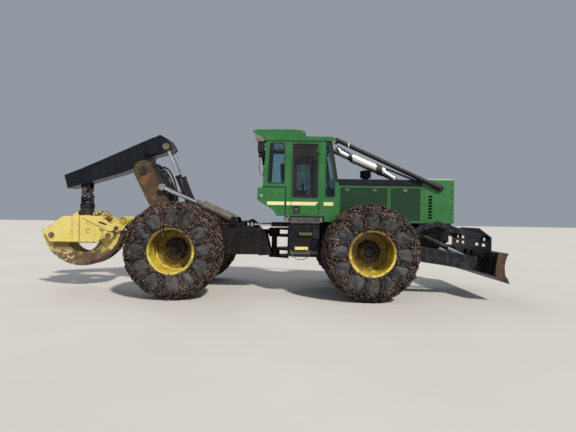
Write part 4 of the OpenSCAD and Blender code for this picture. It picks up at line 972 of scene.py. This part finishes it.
slot_rows = (([(0.385, 1.4), (0.56, 1.345), (0.575, 1.375), (0.4, 1.432)], 0.01),
    ([(0.4, 1.255), (0.5, 1.215), (0.51, 1.23), (0.412, 1.275)], 0.006))
slots = [plate(rounded(np.array(corners) + (grapple_x, 0), soft, 3), -0.332, -0.3295, 0.001)
    for corners, soft in slot_rows]
piece("grapple_slots", both_sides(*slots), hood_black, "grapple")
turn = np.linspace(0.6, 5.4, 26)
ring_bead = arc(grapple_x + 0.175, 1.225, 0.045, turn)
hook_bead = arc(grapple_x + 0.395, 1.165, 0.085, turn[:14] - 1.9)
worn_weld = worn_paint("worn_weld", (220, 150, 45), (420, 330, 120), (90, 50, 30), dust=0.4, chips=0.9, gloss=0.55,
    bumps=0.3)
welds = joined(
    bead([(-4.085, 1.494), (-3.79, 1.35), (-3.52, 1.215)], -0.331, 0.009),
    bead([(-4.142, 0.975), (-4.142, 1.535)], -0.338, 0.01),
    bead(ring_bead, -0.331, 0.008),
    bead(hook_bead, -0.331, 0.008))
piece("grapple_welds", both_sides(welds), worn_weld, "grapple", 60)
ends = joined(keeper(-4.73, -0.344, 1.13, 0.06), keeper(-3.53, -0.344, 1.13, 0.06))
piece("grapple_keepers", both_sides(ends), pin_rust, "grapple")

fitting_rows = [(0.022, 0), (0.022, 0.022), (0.015, 0.024), (0.015, 0.046), (0.024, 0.048), (0.024, 0.078),
    (0.014, 0.082), (0, 0.082)]
spots = ((-0.06, 2.03), (0.0, 2.045), (0.06, 2.02), (0.08, 1.965), (-0.02, 1.975))
fittings = both_sides(*[turned(fitting_rows, (grapple_x + hinge_x + dx, -0.07, z), sides=6) for dx, z in spots])
piece("link_fittings", both_sides(fittings), rod_chrome, "swing_link")

tong_yellow = worn_paint("tong_yellow", (600, 460, 100), (700, 570, 190), (170, 105, 55), dust=0.3, splash=0.9,
    chips=0.9, edge=0.014, gloss=0.45, bumps=0.3, on="tong_rear tong_front")
tree = tong_yellow.node_tree
ragged = noise(tree, 7)
spread = away_from(tree, grapple_x, 1.353)
low_down = ramp(tree, scaled(tree, ragged, 0.45, object_point(tree, "Z"), clamp=False), 1.1, 0.96)
brown = blend(tree, patches(tree, 10, 0.4, 0.62), (60, 36, 24), (135, 85, 55))
overlay(tong_yellow, times(tree, low_down, 0.94), brown, 0.6)
overlay(tong_yellow, times(tree, inside(tree, (None, None, None), (grapple_x - 0.16, None, 0.92), 0.06),
    patches(tree, 13, 0.5, 0.62)), (620, 520, 280), 0.6)
# Painted shadow: the tongs darkened just under the side plates, where those plates shade them.
side_plate_shadow = inside(tree, (grapple_x - 0.62, None, 0.8), (grapple_x + 0.42, None, 1.0), 0.05)
overlay(tong_yellow, times(tree, side_plate_shadow, 0.7), (40, 31, 12), 0.6)
# Painted shade: a dark brown band along the tongs' outer edge on the side toward the machine, for their outside face
# lying in shadow.
outer = ramp(tree, scaled(tree, ragged, 0.1, spread, clamp=False), 0.845, 0.87)
overlay(tong_yellow, times(tree, outer, inside(tree, (grapple_x + 0.1, None, None), (None, None, None), 0.1)),
    (55, 34, 18), 0.5)

# --- Wheels: rims -----------------------------------------------------------------------------
# Pressed steel rims in yellow, paler on the flange, with a deep-set disc; a
# ring of bolts holds the hub's cover, all of it black with mud and grease.
rim_yellow = worn_paint("rim_yellow", (250, 170, 8), (170, 115, 9), (60, 38, 20), dust=0.1, splash=1.2, chips=0.9,
    edge=0.008, gloss=0.4, bumps=0.12, on="rim_front_right rim_front_left rim_rear_right rim_rear_left")
tree = rim_yellow.node_tree
# Height of the hubs, and how far out the middles of the tyres stand
hub_z = 0.925
wheel_y = 1.22
from_hub = maths(tree, "MINIMUM", away_from(tree, half_wheelbase, hub_z), away_from(tree, -half_wheelbase, hub_z),
    clamp=False)
flange = ramp(tree, from_hub, 0.412, 0.43)
barrel = times(tree, ramp(tree, from_hub, 0.352, 0.366), inside(tree, (None, wheel_y - 0.08, None), (None,) * 3))
barrel_tone = blend(tree, patches(tree, 8, 0.4, 0.66), (740, 580, 70), (520, 370, 40))
overlay(rim_yellow, times(tree, barrel, 0.85), barrel_tone)
flange_tone = blend(tree, patches(tree, 9, 0.42, 0.66), (860, 720, 150), (600, 460, 85))
overlay(rim_yellow, times(tree, flange, 0.75), flange_tone)
# Painted shade: the upper part of the barrel and flange darkened to dark gold, where the rim's inside lies in shadow.
upper_half = ramp(tree, object_point(tree, "Z"), hub_z - 0.1, hub_z + 0.16)
upper_rim_shade = times(tree, upper_half, ramp(tree, from_hub, 0.345, 0.375))
overlay(rim_yellow, times(tree, upper_rim_shade, 0.88), (105, 68, 9), 0.5)
overlay(rim_yellow, times(tree, patches(tree, 6.5, 0.53, 0.6), 0.55), (75, 36, 14), 0.6)
muddy = ramp(tree, scaled(tree, noise(tree, 11), -0.16, from_hub, clamp=False), 0.165, 0.11)
overlay(rim_yellow, times(tree, muddy, 0.92), blend(tree, patches(tree, 20, 0.4, 0.6), (7, 5, 4), (38, 21, 13)), 0.65)
overlay(rim_yellow, patches(tree, 15, 0.6, 0.68), (100, 55, 30), 0.7)

mud_black = worn_paint("mud_black", (4, 3, 3), (13, 8, 6), (60, 34, 20), dust=0.02, splash=1.8, chips=0.5, gloss=0.5,
    bumps=0.5, shine=0.22)


def on_wheel(points, end, hand):
    """Moves points made about the origin, +Y outwards, to a wheel; a right wheel is the left
    one turned half round."""
    sign = hands[hand]
    axle_x = half_wheelbase if end == "front" else -half_wheelbase
    return points * (sign, sign, 1) + (hinge_x + axle_x, sign * wheel_y, hub_z)


hub_cover = turned(
    [(0.112, 0.008), (0.112, 0.02), (0.104, 0.028), (0.092, 0.03), (0.088, 0.04), (0.062, 0.046), (0.058, 0.04),
        (0.026, 0.04), (0.024, 0.052), (0, 0.054)],
    (0, 0, 0), (0, 1, 0), 32)
ring_bolts = bolt_heads(on_circle((0, -0.011, 0), 0.178, 14), 0.021, (0, 1, 0))
small_bolts = bolt_heads(on_circle((0, 0.029, 0), 0.098, 8, 0.2), 0.009, (0, 1, 0))
valve = swept([(0.345, -0.1, 0.06), (0.352, -0.06, 0.062), (0.36, -0.02, 0.064)], oval(0.007, 0.007), (0, 0, 1))
wheels = [(end, hand) for end in ("front", "rear") for hand in ("right", "left")]
for end, hand in wheels:
    hub = joined(hub_cover, ring_bolts, small_bolts, valve)
    piece(f"hub_{end}_{hand}", (on_wheel(hub[0], end, hand), hub[1]), mud_black, f"wheel_{end}_{hand}")

# --- Wheels: tyres ----------------------------------------------------------------------------
# Forestry tyres with twelve big lug ends a side, bulging like pillows between
# the chains, cut and scuffed, grey with dust.
lugs_a_side = 12
lug_pitch = 2 * np.pi / lugs_a_side
lug_lean = math.radians(25)
# Where the chain strings start by the rim, where they pass the shoulder, and the crown over its bars
foot_r, shoulder_r, crown_r = 0.478, 0.815, 0.893
# How far the side bulges between two strings, and how high the tread's bars stand
pillow_rise, bar_rise = 0.047, 0.036


def smooth(x, low, high):
    """0 below low, 1 above high, with level ends: 3t^2 - 2t^3."""
    t = np.clip((x - low) / (high - low), 0, 1)
    return t * t * (3 - 2 * t)


def chain_angles(seed):
    """Where the chain strings of a wheel run: for each side the angles at their feet by the rim
    and at the shoulder."""
    rng = np.random.default_rng(40 + seed)
    k = np.arange(lugs_a_side) * lug_pitch
    even = np.stack([k, k + 0.5 * lug_pitch])
    return [even + rng.uniform(-stray, stray, even.shape) for stray in (0.12, 0.13)]


def arched(half):
    """(radius, offset) points from one side to the crown, completed by their mirror image."""
    return np.vstack([half, np.array(half)[-2::-1] * (1, -1)])


def tyre_skin(seed):
    """Points of a tyre about the origin, axle along Y, +Y outwards. Round the section runs v, round the wheel runs
    u. The section is a bead-to-bead arch of given (radius, offset) points. Between the chain strings of each side
    it swells by smooth(distance to the nearest string), with low waves over it; slanted bars, staggered side to
    side, raise the crown."""
    section = arched([(0.41, -0.275), (0.43, -0.325), (0.47, -0.336), (0.53, -0.342), (0.59, -0.345), (0.65, -0.347),
        (0.71, -0.345), (0.76, -0.338), (0.795, -0.322), (0.82, -0.294), (0.834, -0.255), (0.84, -0.2),
        (0.843, -0.13), (0.844, -0.06), (0.844, 0.0)])
    length = run_along(section)
    even = np.linspace(0, length[-1], 69)
    radius = np.interp(even, length, section[:, 0])
    offset = np.interp(even, length, section[:, 1])
    around = 480
    uu, rr = np.meshgrid(np.arange(around) * 2 * np.pi / around, radius, indexing="ij")
    yy = np.broadcast_to(offset, uu.shape)
    normal_r, normal_y = unit(np.stack([np.gradient(offset), -np.gradient(radius)], -1)).T
    feet, heads = chain_angles(seed)
    rng = np.random.default_rng(70 + seed)
    waves = zip(((17, 21), (29, 13), (11, 9), (23, 31)), rng.uniform(0, 2 * np.pi, (4, 2)))
    dents = sum(np.sin(uu * m + a) * np.sin(rr * n + b) for (m, n), (a, b) in waves)
    lift = np.zeros_like(uu)
    for side, sign in ((0, -1), (1, 1)):
        t = np.clip((rr - foot_r) / (shoulder_r - foot_r), 0, 1)
        strings = feet[side] + (heads[side] - feet[side]) * t[..., None]
        gap = np.abs((uu[..., None] - strings + np.pi) % (2 * np.pi) - np.pi).min(-1) * rr
        pillow = smooth(gap, 0.02, 0.09) * (0.75 + 0.25 * smooth(gap, 0.06, 0.14))
        span = smooth(rr, 0.44, 0.52) * smooth(-rr, -0.85, -0.77)
        lift += (sign * yy > 0) * span * smooth(np.abs(yy), 0.22, 0.33) * pillow * (pillow_rise + 0.007 * dents)
        phase = uu / lug_pitch + (0.5 if side else 0.0)
        slant = phase - sign * yy * math.tan(lug_lean) / (crown_r * lug_pitch)
        bar = 1 - np.abs((slant - np.floor(slant) - 0.5) * 2)
        reach = smooth(sign * yy, -0.05, 0.0) * smooth(-sign * yy, -0.34, -0.28)
        lift += smooth(bar, 0.52, 0.66) * reach * smooth(rr, 0.82, 0.845) * bar_rise
    r, y = rr + normal_r * lift, yy + normal_y * lift
    points = np.stack([r * np.sin(uu), y, r * np.cos(uu)], -1).reshape(-1, 3)
    return points, grid_faces(around, len(even), wrap_rows=True)[:, ::-1]


tyre_rubber, tree, shader = finish("tyre_rubber", Specular_IOR_Level=0.22)
marks = weathered(tree, Dust=0.9, Splash=1.9)
where = object_point(tree)
cracks = add(tree, "TexVoronoi", {"Vector": where, "Scale": 9.0, "Randomness": 1.0}, feature="DISTANCE_TO_EDGE")
lined = ramp(tree, cracks.outputs["Distance"], 0.004, 0.028)
cuts = noise(tree, 1, 5, 0.5, add(tree, "Mapping", {"Vector": where, "Scale": (30, 8, 12)}).outputs["Vector"])
grey = blend(tree, ramp(tree, marks["Mottle"], 0.36, 0.62), (26, 27, 27), (70, 71, 70))
grey = blend(tree, times(tree, patches(tree, 6, 0.52, 0.66), 0.75), grey, (10, 10, 11))
grey = blend(tree, ramp(tree, cuts, 0.62, 0.7), grey, (12, 12, 12))
grey = blend(tree, times(tree, less(tree, lined), 0.14), grey, (14, 13, 13))
feed(shader, Base_Color=blend(tree, times(tree, marks["Dust"], 0.26), grey, (170, 155, 140)))
feed(shader, Roughness=scaled(tree, marks["Mottle"], 0.3, 0.5))
rough = scaled(tree, lined, 0.05, scaled(tree, cuts, -0.5, marks["Height"], clamp=False), clamp=False)
feed(shader, Normal=bumped(tree, rough, 0.5, 0.01))

for number, (end, hand) in enumerate(wheels):
    points, faces = tyre_skin(number)
    tyre = piece(f"tyre_skin_{end}_{hand}", (on_wheel(points, end, hand), faces), tyre_rubber, f"wheel_{end}_{hand}",
        0)
    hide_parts(f"tyre_{end}_{hand}")

# --- Wheels: chains ---------------------------------------------------------------------------
# A forestry chain net over each tyre: welded rusty links in zigzags over the tread
# and crowded on the shoulders, strings down the sidewall between the lug ends, and
# a hoop chain near the rim on either side. Loose tails hang over the rim.
# A link: radius of its wire, length, width, and the step from one link to the next
wire_r = 0.0135
link_long = 0.102
link_wide = 0.074
link_pitch = 0.068
# Links that reach lower than ground_reach are pressed flat: flat_foot and pressed times their height
ground_reach, flat_foot, pressed = 0.03, 0.017, 0.43


def link_ring():
    """One link about the origin, long way along X: a racetrack of 10 stations swept by a round wire of 4 sides."""
    stations, sides = 10, 4
    t = (np.arange(stations) + 0.5) * 2 * np.pi / stations
    half = (link_long - link_wide) / 2
    r = link_wide / 2 - wire_r
    centre = np.stack([r * np.cos(t) + half * np.sign(np.cos(t)), r * np.sin(t), 0 * t], -1)
    outward = np.stack([np.cos(t), np.sin(t), 0 * t], -1)
    a = np.arange(sides) * 2 * np.pi / sides + np.pi / 4
    a = a[None, :, None]
    ring = centre[:, None] + wire_r * (np.cos(a) * outward[:, None] + np.sin(a) * np.array([0, 0, 1.0]))
    return ring.reshape(-1, 3), grid_faces(stations, sides, wrap_rows=True, wrap_columns=True)


def over_tyre(angle, share):
    """Points of a chain's way over the tyre, from its angle round the wheel and its share over the section, 0 at the
    inner hoop and 1 at the outer: radius and offset are read off a run of given points evenly by length."""
    way = arched([(foot_r, -0.352), (0.52, -0.358), (0.6, -0.362), (0.68, -0.366), (0.75, -0.364), (0.805, -0.35),
        (0.848, -0.32), (0.876, -0.268), (0.887, -0.2), (0.89, -0.1), (0.891, 0.0)])
    length = run_along(way)
    s = share * length[-1]
    radius, offset = np.interp(s, length, way[:, 0]), np.interp(s, length, way[:, 1])
    return np.stack([radius * np.sin(angle), offset, radius * np.cos(angle)], -1)


def square_to(vectors, line):
    """Unit vectors from what the vectors have square to the unit vectors of line."""
    return unit(vectors - (vectors * line).sum(1)[:, None] * line)


def chain_links(line, rng, twist, wild=0.25, proud=0.0):
    """Links along one string of the net, link_pitch apart, each turned a quarter from the last with some random roll;
    wild is how unruly they are, and proud lifts them, the more so the wilder they turn."""
    run = run_along(line)
    count = max(2, int(round(run[-1] / link_pitch)))
    at = (np.arange(count) + 0.5) * run[-1] / count
    centre, after, before = (
        np.stack([np.interp(at + shift, run, line[:, i]) for i in range(3)], -1) for shift in (0, 0.01, -0.01))
    ahead = unit(after - before)
    away = unit(centre * (1, 0, 1))
    flat = np.clip(np.abs(centre[:, 1]) - 0.3, 0, 0.06)[:, None] / 0.06
    away = away * (1 - flat) + flat * np.sign(centre[:, 1])[:, None] * np.array([0, 1.0, 0])
    away = square_to(away, ahead)
    yaw, tilt = (rng.normal(0, wild * part, (count, 1)) for part in (0.7, 0.5))
    ahead = unit(ahead + yaw * np.cross(away, ahead) + tilt * away)
    centre = centre + away * (proud + np.abs(rng.normal(0, wild * 0.02, (count, 1))))
    away = square_to(away, ahead)
    beside = np.cross(away, ahead)
    roll = (np.arange(count) % 2) * np.pi / 2 + twist + rng.normal(0, wild, count)
    across = np.cos(roll)[:, None] * beside + np.sin(roll)[:, None] * away
    face = np.cross(ahead, across)
    x, y, z = np.split(link_ring()[0], 3, -1)
    return centre[:, None] + x * ahead[:, None] + y * across[:, None] + z * face[:, None]


def chain_net(seed):
    """Every link of one net about the origin: hoops, sidewall strings between the lugs, zigzags over the
    tread whose peaks meet their neighbours', so that they close into diamonds, and short crossing strings
    that crowd the shoulders."""
    rng = np.random.default_rng(100 + seed)
    feet, heads = chain_angles(seed)
    parts = []
    turn = np.linspace(0, 2 * np.pi, 181)
    for share, sign in ((0, 1), (1, -1)):
        hoop = over_tyre(turn, share + 0.008 * np.sin(turn * 9) * sign)
        parts.append(chain_links(hoop, rng, 0.2, 0.2))
    for side, low, high in ((0, 0.0, 0.245), (1, 1.0, 0.755)):
        for foot, head in zip(feet[side], heads[side]):
            t = np.linspace(0, 1, 24)
            string = over_tyre(foot + (head - foot) * t + 0.015 * np.sin(6 * t), low + (high - low) * t)
            parts.append(chain_links(string, rng, 0.4, 0.22, 0.004))
    rows = 5
    for k in range(2 * lugs_a_side):
        s = np.linspace(0.225, 0.775, 90)
        zig = 2 * np.abs(((s - 0.225) / 0.55 * rows) % 1 - 0.5) * 2 - 1
        swing = (1 if k % 2 else -1) * zig * lug_pitch * 0.25
        parts.append(chain_links(over_tyre(k * lug_pitch / 2 + swing, s), rng, 0.2, 0.32))
    turn = np.linspace(0, 2 * np.pi, 361)
    for middle in (0.19, 0.245, 0.755, 0.81):
        rounds = over_tyre(turn, middle + 0.013 * np.sin(turn * lugs_a_side * 2 + middle * 9))
        parts.append(chain_links(rounds, rng, 0.7, 0.45, 0.003))
    for low, high in ((0.15, 0.3), (0.85, 0.7)):
        for k in range(3 * lugs_a_side):
            start = (k + rng.uniform(-0.4, 0.4)) * lug_pitch / 3
            lean = rng.choice((-1, 1)) * rng.uniform(0.05, 0.16)
            t = np.linspace(0, 1, 8)
            crossing = over_tyre(start + lean * t, low + (high - low) * t)
            parts.append(chain_links(crossing, rng, rng.uniform(0, 3), 0.55, 0.006))
    for angle, drop in ((0.3, 0.19), (-0.62, 0.12), (2.2, 0.08)):
        t = np.linspace(0, 1, 8)[:, None]
        start = np.array([0.47 * np.sin(angle), 0.362, 0.47 * np.cos(angle)])
        parts.append(chain_links(start + t * (0.02, -0.02, -drop), rng, 0.3, 0.25))
    links = np.concatenate(parts)
    _, faces = link_ring()
    step = links.shape[1]
    all_faces = (faces[None] + (np.arange(len(links)) * step)[:, None, None]).reshape(-1, 4)
    return links.reshape(-1, 3), all_faces


chain_rust, tree, shader = finish("chain_rust", Specular_IOR_Level=0.3)
patch, speck = noise(tree, 9, 4), noise(tree, 70, 4)
brown = blend(tree, ramp(tree, patch, 0.38, 0.6), (5, 4, 4), (52, 20, 15))
bright = ramp(tree, scaled(tree, speck, 0.75, times(tree, patch, 0.25)), 0.556, 0.612)
feed(shader, Base_Color=blend(tree, bright, brown, (400, 315, 260)))
feed(shader, Metallic=times(tree, bright, 0.55))
feed(shader, Roughness=scaled(tree, patch, -0.35, 0.7))
feed(shader, Normal=bumped(tree, speck, 0.4, 0.002))

for number, (end, hand) in enumerate(wheels):
    points, faces = chain_net(number)
    points = on_wheel(points, end, hand)
    low = points[:, 2] < ground_reach
    points[low, 2] = flat_foot + pressed * points[low, 2]
    piece(f"tyre_chains_{end}_{hand}", (points, faces), chain_rust, f"wheel_{end}_{hand}", 0)
